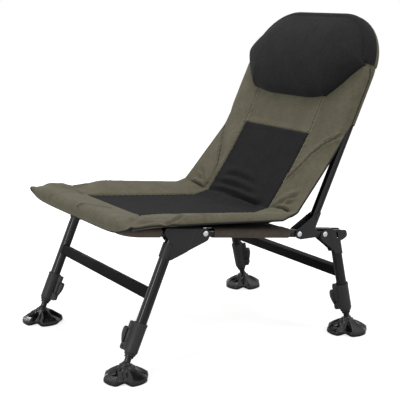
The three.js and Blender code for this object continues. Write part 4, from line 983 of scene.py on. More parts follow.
# Mattress: one padded cover of olive polyester cloth over 20 to 30 mm of foam, from the front roll to
# the top of the back. Its middle is black cloth, sewn in, and its edge is bound with a thin dark tape.
PANEL_HALF = 140
PAD_HALF = 262
PAD_LENGTH = 394
BORDER_RUN = 80
SIDE_COLUMNS, MIDDLE_COLUMNS = 40, 65
CENTRE = SIDE_COLUMNS + MIDDLE_COLUMNS // 2
ROLL_START, ROLL_EDGE_START, ROLL_TALL, ROLL_THIN = -42, 40, 11, 3
TIP_OUT, TIP_TURN, TIP_WIDE, TIP_SPREAD = 9, 30, 14, 28
CORNER_FROM, CORNER_RUN = 120, 80
BINDING_FRONT, BINDING_BACK = 6, 33
SLING_GAP, REST_FROM, REST_RUN, EDGE_FROM, EDGE_RUN = 0.8, 205, 20, 250, 12
SEAM_FRONT, SEAM_BACK, PANEL_DIP, DIP_RUN = 14, 28, 3, 320
BOLSTER_FRONT, BOLSTER_CROWN, BOLSTER_BACK, BOLSTER_GROWS, BOLSTER_RUN = 21, 41, 47, 95, 308
BORDER_FRONT, BORDER_CROWN, BORDER_CURVE, BORDER_BACK, BORDER_JOIN = 24.5, 23.5, 40, 50, 14
ROLL_ROWS, BORDER_ROWS, SEAT_ROWS, CREASE_ROWS, LUMBAR_ROWS, BACK_ROWS = 16, 34, 100, 7, 72, 64
PANEL_TOP_RISE = 245
BACK_PAD_LOW, BACK_PAD_TOP = 262, 540
ARCH_FROM, ARCH_CENTRE, ARCH_ROUND = BACK_REACH - BACK_BEND, SPACING / 2 - BACK_BEND, BACK_BEND + 9
BACK_HALF_LOW, BACK_HALF_HIGH, CURL_OUT = 248, 245, 6
REAR_FACE, REAR_EDGE, REAR_CURLED, REAR_SHARE = 14, 10, 4, 0.97
FOAM_EDGE, FOAM_CROWN = 3, 17
FOAM_REST = 13.3


def side_share(share):
    """Where the side columns lie between the panel and the bound edge: closer towards the edge, by
    0.6 times the share plus 0.4 times its sine."""
    return 0.6 * share + 0.4 * np.sin(share * np.pi / 2)


def pad_columns(half):
    """Where the columns of a row lie: even across the middle panel, then out to the bound edges."""
    half = np.asarray(half, float)[:, None]
    side = PANEL_HALF + (half - PANEL_HALF) * side_share(np.linspace(0, 1, SIDE_COLUMNS + 1)[1:])
    middle = np.broadcast_to(PANEL_HALF * np.linspace(-1, 1, MIDDLE_COLUMNS), (len(half), MIDDLE_COLUMNS))
    return np.concatenate([-side[:, ::-1], middle, side], 1)


def rim(share, power=6):
    """Fullness towards an edge: the square root of 1 less the share to the given power."""
    return np.sqrt(np.clip(1 - np.abs(share) ** power, 0, 1))


def binding_rise(s):
    """How far the bound edge lies over the rails: low at the front, and up to its most at the crease by
    the 0.6th power of the share along."""
    return mix(BINDING_FRONT, BINDING_BACK, np.clip(s / PAD_LENGTH, 0, 1) ** 0.6)


def seat_under(x, s):
    """The underside of the seat: on the sling in the middle, flat over the rails, curling up to the
    bound edge with the fourth power of the share across."""
    rest = mix(seat_rise(x, s) + SLING_GAP, FOAM_REST, smooth((np.abs(x) - REST_FROM) / REST_RUN))
    lift = binding_rise(s) - FOAM_REST
    drop = np.minimum(lift, 0) * smooth((np.abs(x) - EDGE_FROM) / EDGE_RUN)
    return rest + np.maximum(lift, 0) * (x / PAD_HALF) ** 4 + drop


def in_corner(x):
    """Share to which a place across the front lies in one of its corners."""
    return smooth((np.abs(x) - CORNER_FROM) / CORNER_RUN)


def seat_top(x, s):
    """The top of the seat: the black panel lies low between two side bolsters, whose rise is the square
    root of 1 less a power of the share from the crown to the seam or to the bound edge. The bolsters
    grow behind the front border, which is a third bolster across the chair."""
    on_panel = np.abs(x) <= PANEL_HALF
    q = np.clip((np.abs(x) - PANEL_HALF) / (PAD_HALF - PANEL_HALF), 0, 1)
    seam = mix(SEAM_FRONT, SEAM_BACK, s / PAD_LENGTH)
    dip_along = np.sin(np.pi * np.clip((s - BORDER_RUN) / DIP_RUN, 0, 1))
    dip = PANEL_DIP * np.clip(1 - (x / PANEL_HALF) ** 2, 0, 1) * dip_along
    grown = smooth((s - BORDER_RUN) / BOLSTER_GROWS)
    behind = np.clip((s - BORDER_RUN) / BOLSTER_RUN, 0, 1)
    crown = mix(mix(BOLSTER_FRONT, BOLSTER_CROWN, grown), BOLSTER_BACK, behind)
    peak = mix(0.45, 0.8, grown)
    edge = np.minimum(binding_rise(s) + mix(4, 2.5, grown), crown - 1)
    up = np.minimum(q / peak, 1)
    swell = mix(np.sqrt(np.clip(1 - (1 - up) ** 2.2, 0, 1)), up ** 0.8, 0.85 * grown)
    down = np.clip((q - peak) / (1 - peak), 0, 1)
    outer_side = edge + (crown - edge) * np.sqrt(np.clip(1 - down ** mix(2.6, 1.6, grown), 0, 1))
    bolster = np.where(on_panel, seam - dip, np.where(q < peak, seam + (crown - seam) * swell, outer_side))
    fuller = np.where(x < 0, 7, 1) * in_corner(x)
    border_crown = mix(BORDER_FRONT, BORDER_CROWN, smooth(s / BORDER_CURVE)) + fuller
    share = np.clip((BORDER_RUN - s) / BORDER_BACK, 0, 1)
    middle = seam + (border_crown - seam) * np.clip(1 - (1 - share) ** 2.0, 0, 1) ** 0.6
    fall = np.where(q > peak, outer_side - crown, 0)
    side = mix(bolster, border_crown + fall, smooth((BORDER_RUN - s) / BORDER_JOIN))
    return np.where(s < BORDER_RUN, np.where(on_panel, middle, side), bolster)


def curl(rise):
    """Share to which the edge is drawn round the sleeve: 1 from a rise of 295 to 405."""
    return smooth((rise - 245) / 50) * (1 - smooth((rise - 405) / 40))


def back_half(rise):
    """Half the width of the back: nearly constant, then an arc 9 outside the tube's bend, and a little
    more where the edge is drawn round the sleeve."""
    arc = ARCH_CENTRE + np.sqrt(ARCH_ROUND ** 2 - np.clip(rise - ARCH_FROM, 0, 150) ** 2)
    side = mix(BACK_HALF_LOW, BACK_HALF_HIGH, rise / ARCH_FROM)
    return np.where(rise > ARCH_FROM, arc, side) + CURL_OUT * curl(rise)


def back_rear(w, rise=0):
    """How far in front of the tube axes the rear of the back part lies, less at its last edge."""
    edge, share = mix(REAR_EDGE, REAR_CURLED, curl(rise)), (np.abs(w) - REAR_SHARE) / (1 - REAR_SHARE)
    return np.where(share > 0, mix(REAR_FACE, edge, share), REAR_FACE)


def back_face(w, rise):
    """The front of the back part: the rear plus 3 to 17 mm of foam, by the rim of both shares."""
    over = rim(np.clip((rise - BACK_PAD_LOW) / (BACK_PAD_TOP - BACK_PAD_LOW), 0, 1))
    return back_rear(w, rise) + mix(FOAM_EDGE, FOAM_CROWN, rim(w) * over)


def through(points, shares):
    """A smooth run (Catmull-Rom) through rows of points, at shares of the whole run."""
    count = len(points)
    at = shares * (count - 1)
    i = np.minimum(at.astype(int), count - 2)
    f = (at - i)[:, None, None]
    a, b, c, d = (points[np.clip(i + k, 0, count - 1)] for k in (-1, 0, 1, 2))
    bend = 2 * a - 5 * b + 4 * c - d
    return 0.5 * (2 * b + (c - a) * f + bend * f ** 2 + (3 * b - a - 3 * c + d) * f ** 3)


def on_back(forward, rise, w):
    """Points (y, z) of the leaned back frame in the chair's frame, for a row of shares w."""
    forward, rise = np.asarray(forward, float), np.asarray(rise, float)
    return on_arch(np.stack([0 * w, BACK_OFFSET - forward + 0 * w, rise + 0 * w], -1))[..., 1:]


def roll_foam(x):
    """How thick the front roll is: 11 in the middle, fuller towards the corners, most on the sitter's
    right."""
    return (ROLL_TALL + np.where(x < 0, 5, 1) * in_corner(x)) * rim(x / PAD_HALF, 8)


def roll_rows(top):
    """The front roll: an arc about the front tube, from a turn that the edges start later, thickening
    with the 1.7th power of the sine of the share, with a small swelling at the far corner."""
    share = np.linspace(0, 1, ROLL_ROWS, endpoint=False)[:, None]
    x = pad_columns(np.full(ROLL_ROWS, PAD_HALF))
    w = x / PAD_HALF
    turn = mix(ROLL_START + (ROLL_EDGE_START - ROLL_START) * w ** 6, 90, share)
    full = np.sin(share * np.pi / 2) ** 1.7 * rim(w, 8)
    thick = np.maximum(ROLL_THIN, mix(ROLL_THIN, roll_foam(x), full)) if top else 0 * w
    tip = TIP_OUT * np.exp(-((x + PAD_HALF) / TIP_WIDE) ** 2 - ((turn - TIP_TURN) / TIP_SPREAD) ** 2)
    radius = FOAM_REST + thick + tip
    return on_seat(np.stack([x, -radius * np.cos(np.radians(turn)), radius * np.sin(np.radians(turn))], -1))


def seat_rows(top):
    """The seat, in close rows over the front border and wider ones behind it."""
    s = np.concatenate([np.linspace(0, BORDER_RUN, BORDER_ROWS, endpoint=False),
                        np.linspace(BORDER_RUN, PAD_LENGTH, SEAT_ROWS)])[:, None]
    x = pad_columns(np.full(len(s), PAD_HALF))
    s = s + 0 * x
    rise = seat_under(x, s)
    if top:
        full = np.maximum(ROLL_THIN, mix(ROLL_THIN, roll_foam(x), rim(x / PAD_HALF, 8)))
        rise = np.maximum(mix(FOAM_REST + full, seat_top(x, s), smooth(s / 30)), rise + ROLL_THIN)
    return on_seat(np.stack([x, s, rise], -1))


def mattress_face(top):
    """One face of the mattress as a grid of points: the front roll, the seat, the crease as straight rows,
    the lumbar part as a smooth run through four rows, and the back."""
    roll, seat = roll_rows(top), seat_rows(top)
    w = pad_columns([PAD_HALF])[0] / PAD_HALF
    foam, edge = (0, 3) if top else (20, 0)
    across = (np.abs(w) ** 5)[:, None]
    run = np.stack([
        mix(on_back(66 - foam, 34 - foam, w), on_back(66 + 2 * edge, 45, w), across),
        mix(on_back(46.6 - foam, 139, w), on_back(43 + edge, 130, w), across),
        mix(on_back(36.5 - foam, 214, w), on_back(22 + edge, 205, w), across),
        on_back(back_face(w, BACK_PAD_LOW) if top else back_rear(w), BACK_PAD_LOW, w)])
    share = np.linspace(0, 1, CREASE_ROWS + 1, endpoint=False)[1:]
    crease = mix(seat[-1][:, 1:], run[0], share[:, None, None])
    lumbar_share = np.linspace(0, 1, LUMBAR_ROWS)
    widening = np.concatenate([share / 4, mix(0.25, 1, lumbar_share)])
    x = pad_columns(mix(PAD_HALF, back_half(BACK_PAD_LOW), widening))
    lumbar = np.concatenate([x[..., None], np.concatenate([crease, through(run, lumbar_share)])], -1)
    rise = np.linspace(BACK_PAD_LOW, BACK_PAD_TOP, BACK_ROWS + 1)[1:]
    x = pad_columns(back_half(rise))
    w, rise = x / back_half(rise)[:, None], rise[:, None] + 0 * x
    forward = back_face(w, rise) if top else back_rear(w, rise)
    return np.concatenate([roll, seat, lumbar, on_arch(np.stack([x, BACK_OFFSET - forward, rise], -1))])


def facing(grid):
    """Unit normals of the mattress's top: the cross product of its steps along rows and columns, turned
    so that the middle of the seat looks up."""
    n = np.cross(np.gradient(grid, axis=1), np.gradient(grid, axis=0))
    n = n / np.maximum(np.linalg.norm(n, axis=-1, keepdims=True), 1e-9)
    return n * np.sign(n[first_seat + SEAT_ROWS // 2, CENTRE, 2])


def near_line(place, line):
    """Distance of every (u, v) of a grid to a line of points, and the share along the line there."""
    line = np.asarray(line, float)
    starts, lengths = run_along(line), np.linalg.norm(np.diff(line, axis=0), axis=1)
    best, along = np.full(place.shape[:2], 1e9), np.zeros(place.shape[:2])
    for a, b, start, length in zip(line[:-1], line[1:], starts, lengths):
        t = np.clip(((place - a) @ (b - a)) / length ** 2, 0, 1)
        d = np.linalg.norm(place - a - t[..., None] * (b - a), axis=-1)
        along = np.where(d < best, (start + t * length) / starts[-1], along)
        best = np.minimum(best, d)
    return best, along


def drawn_in(place, line, depth, width, puff=0.5, taper=0.15):
    """How far a seam or fold draws the cloth in: minus the depth times a bell of the distance over the
    width, plus a puff in a wider bell beside it, fading out at the line's ends."""
    distance, along = near_line(place, line)
    ends = smooth(np.minimum(along, 1 - along) / taper) if taper else 1
    bell = np.exp(-(distance / width) ** 2)
    beside = np.exp(-((distance - 2.4 * width) / (1.5 * width)) ** 2)
    return depth * ends * (puff * beside - bell)


def gathers(place, line, tall=0.7, wide=9, pitch=15):
    """Small gathers beside a seam: a sine of the length along it, in a bell of the distance to it."""
    distance, share = near_line(place, line)
    length = run_along(np.asarray(line, float))[-1]
    wave = np.sin(2 * np.pi * share * length / pitch + 1.7 * np.sin(share * length / 37))
    return tall * wave * np.exp(-((distance - wide * 0.7) / wide) ** 2)


top, under = mattress_face(True), mattress_face(False)
along = run_along(top[:, CENTRE])
place = np.stack([top[..., 0], np.broadcast_to(along[:, None], top.shape[:2])], -1)
first_seat = ROLL_ROWS + BORDER_ROWS
last_seat = first_seat + SEAT_ROWS - 1
lumbar = last_seat + CREASE_ROWS + 1


def up_the_back(points):
    """Turns (across, rise) on the back into (across, length along the mattress)."""
    return [(x, np.interp(rise, leaned_rise[lumbar:], along[lumbar:])) for x, rise in points]


def along_the_seat(points):
    """Turns (across, reach) on the seat into (across, length along the mattress)."""
    return [(x, np.interp(reach, seat_reach, along[:last_seat + 1])) for x, reach in points]


def rise_up_the_back(points):
    """How far up the back frame points of the chair's frame lie."""
    tip = np.radians(BACK_LEAN)
    return (points[:, 1] - BACK_ORIGIN[0]) * np.sin(tip) + (points[:, 2] - BACK_ORIGIN[1]) * np.cos(tip)


tip = np.radians(SEAT_LEAN)
leaned_rise = rise_up_the_back(top[:, CENTRE])
ahead, up = (top[:last_seat + 1, CENTRE, 1:] - SEAT_ORIGIN).T
seat_reach = ahead * np.cos(tip) - up * np.sin(tip)
before_lumbar = np.arange(len(along)) < lumbar
panel_end = int(np.argmin(np.abs(leaned_rise - PANEL_TOP_RISE) + 1e6 * before_lumbar))
pillow_row = int(np.argmin(np.abs(leaned_rise - 420)))

# The seams and folds are given as (across, rise up the back) or (across, reach along the seat), a fold
# of the seat also with its depth and width, and the dart as (across, length along the mattress).
WING_SEAM = [(247, 265), (240, 252), (228, 243), (213, 232), (187, 197), (178, 177), (168, 154), (151, 123),
             (143, 108)]
FAR_WING_SEAM = [(-240, 228), (-222, 204), (-206, 182), (-182, 140), (-160, 103), (-153, 73), (-154, 46)]
CREASE_FOLDS = [[(-157, 59), (-80, 63), (-10, 63), (65, 54), (110, 37)],
                [(-146, 37), (-75, 42), (-5, 42), (70, 31), (120, 26)],
                [(-125, 84), (-60, 92), (0, 88), (60, 74)], [(-60, 22), (10, 24), (70, 18), (130, 10)]]
WING_FOLDS = [[(146, 30), (185, 52), (225, 62)], [(150, 22), (190, 32), (232, 34)],
              [(150, 12), (195, 14), (238, 10)], [(160, 44), (200, 74), (232, 92)]]
SEAT_FOLDS = [([(-252, 4), (-200, 44), (-143, 84)], 3.0, 7), ([(252, 4), (200, 46), (143, 84)], 2.6, 6),
              ([(-175, 20), (-165, 48), (-120, 76)], 2.4, 6), ([(205, 8), (225, 40), (215, 66)], 2.4, 6),
              ([(262, 78), (255, 88), (248, 104), (240, 124), (226, 152)], 7, 4),
              ([(262, 10), (257, 20), (240, 66), (226, 104)], 3, 5),
              ([(-262, 84), (-249, 88), (-238, 104), (-226, 132)], 4.5, 4.5),
              ([(232, 190), (262, 186)], 1.8, 2.4), ([(-232, 190), (-262, 186)], 1.8, 2.4)]
DART = [(17, 28), (19, 40), (28, 46), (48, 61), (74, 92)]
moved = np.zeros(top.shape[:2])
for sign, seam in ((1, WING_SEAM), (-1, FAR_WING_SEAM)):
    panel_seam = [(sign * PANEL_HALF, along[row]) for row in (first_seat, pillow_row)]
    moved += drawn_in(place, panel_seam, 2.6, 2.8, 0.5, 0.01) + gathers(place, panel_seam)
    moved += drawn_in(place, up_the_back(seam), 4.6, 2.8, 0.55, 0.06) + gathers(place, up_the_back(seam))
    for fold in WING_FOLDS:
        moved += drawn_in(place, up_the_back([(sign * x, r) for x, r in fold]), 5.0, 4.5, 0.7, 0.3)
for a in (along[first_seat], along[panel_end]):
    moved += drawn_in(place, [(-PANEL_HALF, a), (PANEL_HALF, a)], 2.0, 3.2, 0.45, 0.02)
for fold in CREASE_FOLDS:
    moved += drawn_in(place, up_the_back(fold), 5.0, 6, 0.8, 0.3)
for fold, depth, width in SEAT_FOLDS:
    moved += drawn_in(place, along_the_seat(fold), depth, width, 0.6, 0.25)
moved += drawn_in(place, DART, 3.2, 2.6, 0.5, 0.05)
# Soft unevenness of the stuffed cloth: slow waves that cross, away from the panel and the bound edge.
x, run = place[..., 0], place[..., 1]
off_panel = (np.abs(x) - PANEL_HALF) / 20 + smooth((BORDER_RUN - run + 40) / 20)
uneven = np.sin(run / 17 + 2 * np.sin(x / 31)) * np.sin(x / 14 + 1.3) + 0.6 * np.sin(run / 9.5 + x / 12)
moved += 0.45 * smooth(off_panel) * smooth((255 - np.abs(x)) / 30) * uneven
top = top + facing(top) * moved[..., None]

olive = woven("olive polyester cover cloth", "#5f5b4b", "#757160", 1.8, 0.85, 0.06)
black = woven("black brushed polyester", "#282829", "#323233", 1.6, 0.9, 0.02, shine=0.03)
# The near-black cloth is painted shade. On the mattress's underside it stands for the shade under the bound
# edge, and on the two cords for the shade in the seams.
dark = woven("near-black cloth for painted shade", "#131313", "#1b1b1b", 1.6, 0.75, 0.0)
grid, faces = folded(top, under)
columns = top.shape[1]
ring = 2 * columns
row, column = faces[:, 0] // ring, faces[:, 0] % ring
at_end = np.arange(len(faces)) >= (len(top) - 1) * ring
upper = (column < columns - 1) & ~at_end
panel_columns = (column >= SIDE_COLUMNS) & (column < SIDE_COLUMNS + MIDDLE_COLUMNS - 1)
on_panel = upper & panel_columns & (row >= first_seat) & (row < panel_end)
# Finish 2, the near-black cloth of the underside, is painted shade.
numbers = np.where(on_panel, 1, np.where(upper | at_end, 0, 2))
numbers = np.where((column == columns - 1) | (column == ring - 1), 0, numbers)
mattress = piece("mattress_cover", [(grid, faces, numbers)], [olive, black, dark], None,
                 sharp_from=180, merge=False)
weave_map(mattress, place / 1000)
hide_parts("seat_pad", "crease_pad", "back_pad")
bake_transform(mattress)


# Stitching: light olive thread along the seams of the cover, in stitches 4.2 mm long. The thread is
# drawn about twice as thick as a real one, so that it shows.
STITCH_PITCH, STITCH_LENGTH, STITCH_RADIUS, STITCH_LIFT, SEAM_ALLOWANCE = 6.0, 4.2, 0.6, 0.45, 4.5
# Each side border has one short seam across it, given as (across, reach along the seat).
SIDE_SEAM = [(236, 228), (258, 226)]


def on_cover(points):
    """Places and normals on the top of the mattress at (across, length along) points: the row comes
    from the length and the column from the share across, and both are interpolated."""
    x, a = np.asarray(points, float).T
    row = np.interp(a, along, np.arange(len(along)))
    half = np.interp(a, along, top[:, -1, 0])
    share = np.linspace(0, 1, 200)
    out = np.interp((np.abs(x) - PANEL_HALF) / (half - PANEL_HALF), side_share(share), share) * SIDE_COLUMNS
    middle = (MIDDLE_COLUMNS - 1) / 2
    column = CENTRE + np.where(np.abs(x) <= PANEL_HALF, x / PANEL_HALF * middle, np.sign(x) * (middle + out))
    i, j = np.minimum(row.astype(int), len(top) - 2), np.minimum(column.astype(int), top.shape[1] - 2)
    u, v = (row - i)[:, None], (column - j)[:, None]
    return [mix(mix(g[i, j], g[i, j + 1], v), mix(g[i + 1, j], g[i + 1, j + 1], v), u)
            for g in (top, normals)]


def read_off(values, run, lengths):
    """Reads rows of three values off at the given lengths along a run."""
    return np.stack([np.interp(lengths, run, values[:, k]) for k in range(3)], -1)


def stitches(points):
    """Stitches along a line on the cover: each is a six-sided spindle between two places on the line,
    a pitch apart, with its middle rings at full radius and its ends closed."""
    place, normal = on_cover(finer(points, 60))
    run = run_along(place)
    starts = np.arange(2, run[-1] - STITCH_LENGTH, STITCH_PITCH)
    a, b = read_off(place, run, starts), read_off(place, run, starts + STITCH_LENGTH)
    up = read_off(normal, run, starts + STITCH_LENGTH / 2)
    t = (b - a) / np.linalg.norm(b - a, axis=1)[:, None]
    side = np.cross(t, up)
    ring = circle(STITCH_RADIUS, 6)
    shares, sizes = np.array([0, 0.15, 0.85, 1]), np.array([0, 1, 1, 0])
    middle = mix(a[:, None], b[:, None], shares[None, :, None]) + up[:, None] * STITCH_LIFT
    around = ring[:, 0, None] * side[:, None, None] + ring[:, 1, None] * up[:, None, None]
    grid = middle[:, :, None] + sizes[None, :, None, None] * around
    faces = (quads(4, 6, False, True)[None] + 24 * np.arange(len(a))[:, None, None]).reshape(-1, 4)
    return grid.reshape(-1, 3), faces


normals = facing(top)
# The thread's twist is too fine to show, so it has a plain fine grain.
thread = moulded("light olive polyester thread", "#a19c80", "#b3ae92", 0.8, 1.0)
front_seam, panel_seam, under_pillow = along[first_seat], along[panel_end], along[pillow_row]
beside, within = PANEL_HALF + SEAM_ALLOWANCE, PANEL_HALF - SEAM_ALLOWANCE
lines = [[(-PANEL_HALF, front_seam - SEAM_ALLOWANCE), (PANEL_HALF, front_seam - SEAM_ALLOWANCE)],
         [(-PANEL_HALF, panel_seam + SEAM_ALLOWANCE), (PANEL_HALF, panel_seam + SEAM_ALLOWANCE)]]
for sign in (1, -1):
    stops = [front_seam, along[last_seat], panel_seam, under_pillow]
    lines += [[(sign * beside, start), (sign * beside, end)] for start, end in zip(stops, stops[1:])]
    lines.append([(sign * within, panel_seam + SEAM_ALLOWANCE), (sign * within, under_pillow)])
    lines.append(along_the_seat([(sign * x, reach) for x, reach in SIDE_SEAM]))
lines.append(up_the_back([(x - 6, r) for x, r in WING_SEAM]))
stitching = piece("cover_stitching", [stitches(line) for line in lines], thread, None,
                  merge=False)
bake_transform(stitching)


# Seam shade cords: a thin near-black cord lies along the far wing's seam and along the short dart in the
# front border, and its dark colour is painted shade in these seams. It is round, and stands a little out of
# the cover.
SHADE_CORD_RADIUS, SHADE_CORD_OUT = 1.3, 1.0


def round_line(points, radius, count=10):
    """A round cord along a bent line: rings about each point, in the plane square to the line there,
    turned as little as can be from a level direction."""
    along_it = np.gradient(points, axis=0)
    along_it /= np.linalg.norm(along_it, axis=1)[:, None]
    level = np.cross(along_it, (0, 0, 1))
    level /= np.maximum(np.linalg.norm(level, axis=1)[:, None], 1e-6)
    up, ring = np.cross(level, along_it), circle(1, count)
    radius = np.broadcast_to(radius, len(points))[:, None, None]
    around = ring[None, :, :1] * level[:, None] + ring[None, :, 1:] * up[:, None]
    return capped(points[:, None] + radius * around)


cords = []
for line in (up_the_back(FAR_WING_SEAM), DART):
    spot, normal = on_cover(finer(line, 14))
    cords.append(round_line(spot + SHADE_CORD_OUT * normal, SHADE_CORD_RADIUS, 8))
# The cords' near-black colour is painted shade along the two seams.
shade_cord_piece = piece("painted_seam_shade_cords", cords, dark, None, merge=False)
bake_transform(shade_cord_piece)


# Edge binding: dark woven tape folded over the edge of the mattress and sewn through, round the front,
# both sides and up to the pillow. It is thinner along the back than along the seat.
BINDING_RADIUS, BINDING_THIN, BINDING_THINS_FROM, BINDING_THINS_RUN, BINDING_TOP = 2.1, 1.2, 200, 40, 436
# The tape's weave is too fine to show, so it has the small bumps and dull patches of a coated surface.
tape = powder_coat("dark woven edge tape", "#161615", "#201f1d", 0.75)
edge = (top + under) / 2
stop = int(np.argmin(np.abs(leaned_rise - BINDING_TOP)))
loop = np.concatenate([edge[1:stop, 0][::-1], edge[0, 1:-1], edge[1:stop, -1]])
thins = smooth((rise_up_the_back(loop) - BINDING_THINS_FROM) / BINDING_THINS_RUN)
cord = round_line(loop, mix(BINDING_RADIUS, BINDING_THIN, thins))
binding = piece("mattress_binding", [cord], tape, None)
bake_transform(binding)


# Back sling: the same olive cloth as the cover, stretched between the back tubes behind the mattress and
# sewn into a sleeve round each tube.
BACK_SLING_LOW, BACK_SLING_HIGH = 236, 470
BACK_SLEEVE_LOW, BACK_SLEEVE_HIGH = 292, 450
SHEET_IN, SHEET_FORWARD, SHEET_BOW = 14, 12.4, 0.6
BACK_SLEEVE_TURNS, LAP_START, LAP_END = (-25, 275), (-26, 11), (-28, 7)


def bent_in(rise):
    """How far the back tube has bent in at a rise: the bend less the root of its square less the square
    of the rise over the bend's start."""
    return BACK_BEND - np.sqrt(BACK_BEND ** 2 - np.clip(rise - ARCH_FROM, 0, BACK_BEND) ** 2)


rise = np.linspace(BACK_SLING_LOW, BACK_SLING_HIGH, 30)[:, None]
arch_half = SPACING / 2 - bent_in(rise) - SHEET_IN
w = np.linspace(-1, 1, 41)[None]
x = w * arch_half
front = np.stack([x, BACK_OFFSET - SHEET_FORWARD + SHEET_BOW * (1 - w ** 2) + 0 * x, rise + 0 * x], -1)
parts = [(front, front + [0, CLOTH, 0], chart_of(x, rise))]
rise = np.linspace(BACK_SLEEVE_LOW, BACK_SLEEVE_HIGH, 24)[:, None]
line = np.concatenate([[LAP_START], sleeve_line(BACK_RADIUS + SLEEVE_GAP, *BACK_SLEEVE_TURNS, 36), [LAP_END]])
out, run = cloth_section(line)
across, ahead = SPACING / 2 + line[:, 0] - bent_in(rise), line[:, 1] + 0 * rise
for _, sign in SIDES:
    inner = np.stack([sign * across, BACK_OFFSET - ahead, rise + 0 * across], -1)
    shift = np.stack([sign * out[:, 0], -out[:, 1], 0 * run], -1)
    parts.append((inner + shift * CLOTH, inner, chart_of(run, rise)))
back_sling = cloth_piece("back_sling_cloth", parts, olive, on_arch)
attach(back_sling, "back")
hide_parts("back_sling")


# Headrest pillow: black brushed polyester filled with soft fibre. It is sewn to a hood that is drawn
# over the top tube like a cap, and the sides of the hood are olive.
PILLOW_LOW, PILLOW_WIDE, PILLOW_LOW_HALF = 334, 438, 150
PILLOW_THICK, PILLOW_EDGE, PILLOW_IN, PILLOW_GAP, HOOD_CLOTH = 44, 12, 3, 0.4, 4
HOOD_REACH, HOOD_FORWARD, HOOD_REARWARD, HOOD_FLAP = 13, 19.5, 12, 30
HOOD_ANGLE, HOOD_OLIVE_ROW, HOOD_OLIVE_SHARE = 78, 12, 0.56
CORNER_ROUND, CORNER_SHARE, CORNER_SPREAD = 9, 0.5, 0.14
PILLOW_ROWS, HOOD_ROWS, FLAP_ROWS, PILLOW_COLUMNS = 44, 24, 6, 121


def pillow_face(front):
    """One face of the pillow. Its columns follow the top tube's arch by length, w from -1 to 1, and its
    rows run from the low edge up to the tube, half an ellipse over it, and straight down behind."""
    w = np.linspace(-1, 1, PILLOW_COLUMNS)[None]
    run, bend = ARCH_CENTRE, np.radians(HOOD_ANGLE) * BACK_BEND
    length = np.abs(w) * (run + bend)
    turn = np.radians(HOOD_ANGLE) * np.maximum(0, length - run) / bend
    out_x, out_z = np.sign(w) * np.sin(turn), np.cos(turn)
    arch_x = np.sign(w) * np.minimum(length, run) + BACK_BEND * out_x
    arch_z = BACK_REACH - BACK_BEND * (1 - out_z)
    beyond = np.clip((np.abs(w) - CORNER_SHARE) / (1 - CORNER_SHARE), 0, 1)
    corner = mix(beyond, smooth(beyond), 0.35)
    low_half = mix(PILLOW_LOW_HALF, back_half(PILLOW_WIDE) - PILLOW_IN, corner)
    low_x = np.sign(w) * low_half * np.minimum(np.abs(w) / CORNER_SHARE, 1)
    round_off = CORNER_ROUND * np.exp(-((np.abs(w) - CORNER_SHARE) / CORNER_SPREAD) ** 2)
    low_z = mix(PILLOW_LOW, PILLOW_WIDE, corner) + round_off
    step = np.linspace(0, 1, PILLOW_ROWS, endpoint=False)[:, None]
    x, z = mix(low_x, arch_x, step), mix(low_z, arch_z, step)
    under_top = np.minimum(z, BACK_PAD_TOP)
    beside = np.minimum(1, np.abs(x) / back_half(under_top))
    rest = mix(back_face(beside, under_top) + PILLOW_GAP, HOOD_FORWARD, step ** 4)
    full = np.sin(np.pi * mix(0.01, 0.99, step ** 0.9)) ** 0.75 * rim(w, 1.8)
    thin = PILLOW_EDGE * (1 - 0.75 * corner) * smooth(step * 12 + 0.3)
    thick = mix(thin, PILLOW_THICK, np.clip(full, 0, 1))
    lower = np.stack([x, BACK_OFFSET - rest - (thick if front else 0), z], -1)
    over = np.linspace(0, 1, HOOD_ROWS)[:, None]
    back_share = (1 - np.cos(np.pi * over)) / 2
    thinning = np.maximum(0, 1 - 3 * back_share)
    cover = mix(HOOD_CLOTH, PILLOW_EDGE, thinning) * mix(0.3, 1, rim(w, 8)) if front else 0 * over * w
    reach = np.sin(np.pi * over) ** 0.55 * HOOD_REACH + cover * np.sin(np.pi * back_share)
    y = BACK_OFFSET + mix(-HOOD_FORWARD, HOOD_REARWARD, back_share) - cover * np.cos(np.pi * back_share)
    hood = np.stack([arch_x + out_x * reach, y + 0 * arch_x, arch_z + out_z * reach], -1)
    drop = np.linspace(0, 1, FLAP_ROWS + 1)[1:, None] * HOOD_FLAP
    last = hood[-1]
    flap = np.stack([last[:, 0] - out_x * drop, last[:, 1] + 0 * drop, last[:, 2] - out_z * drop], -1)
    return np.concatenate([lower, hood, flap])


face, lining = pillow_face(True), pillow_face(False)
grid, faces = folded(face, lining)
ring = 2 * PILLOW_COLUMNS
row, column = faces[:, 0] // ring, faces[:, 0] % ring
w = np.abs(2 * np.minimum(column, ring - 1 - column) / (PILLOW_COLUMNS - 1) - 1)
numbers = np.where((row >= PILLOW_ROWS + HOOD_OLIVE_ROW) & (w > HOOD_OLIVE_SHARE), 1, 0)
fleece = woven("black brushed fleece", "#252526", "#313132", 1.6, 0.95, 0.06, shine=0.05)
pillow = piece("headrest_pillow_cover", [(on_arch(grid), faces, numbers)], [fleece, olive], "back",
               ["headrest_pillow"], sharp_from=180, merge=False)
weave_map(pillow, chart_of(face[..., 0], run_along(face[:, PILLOW_COLUMNS // 2])[:, None]))


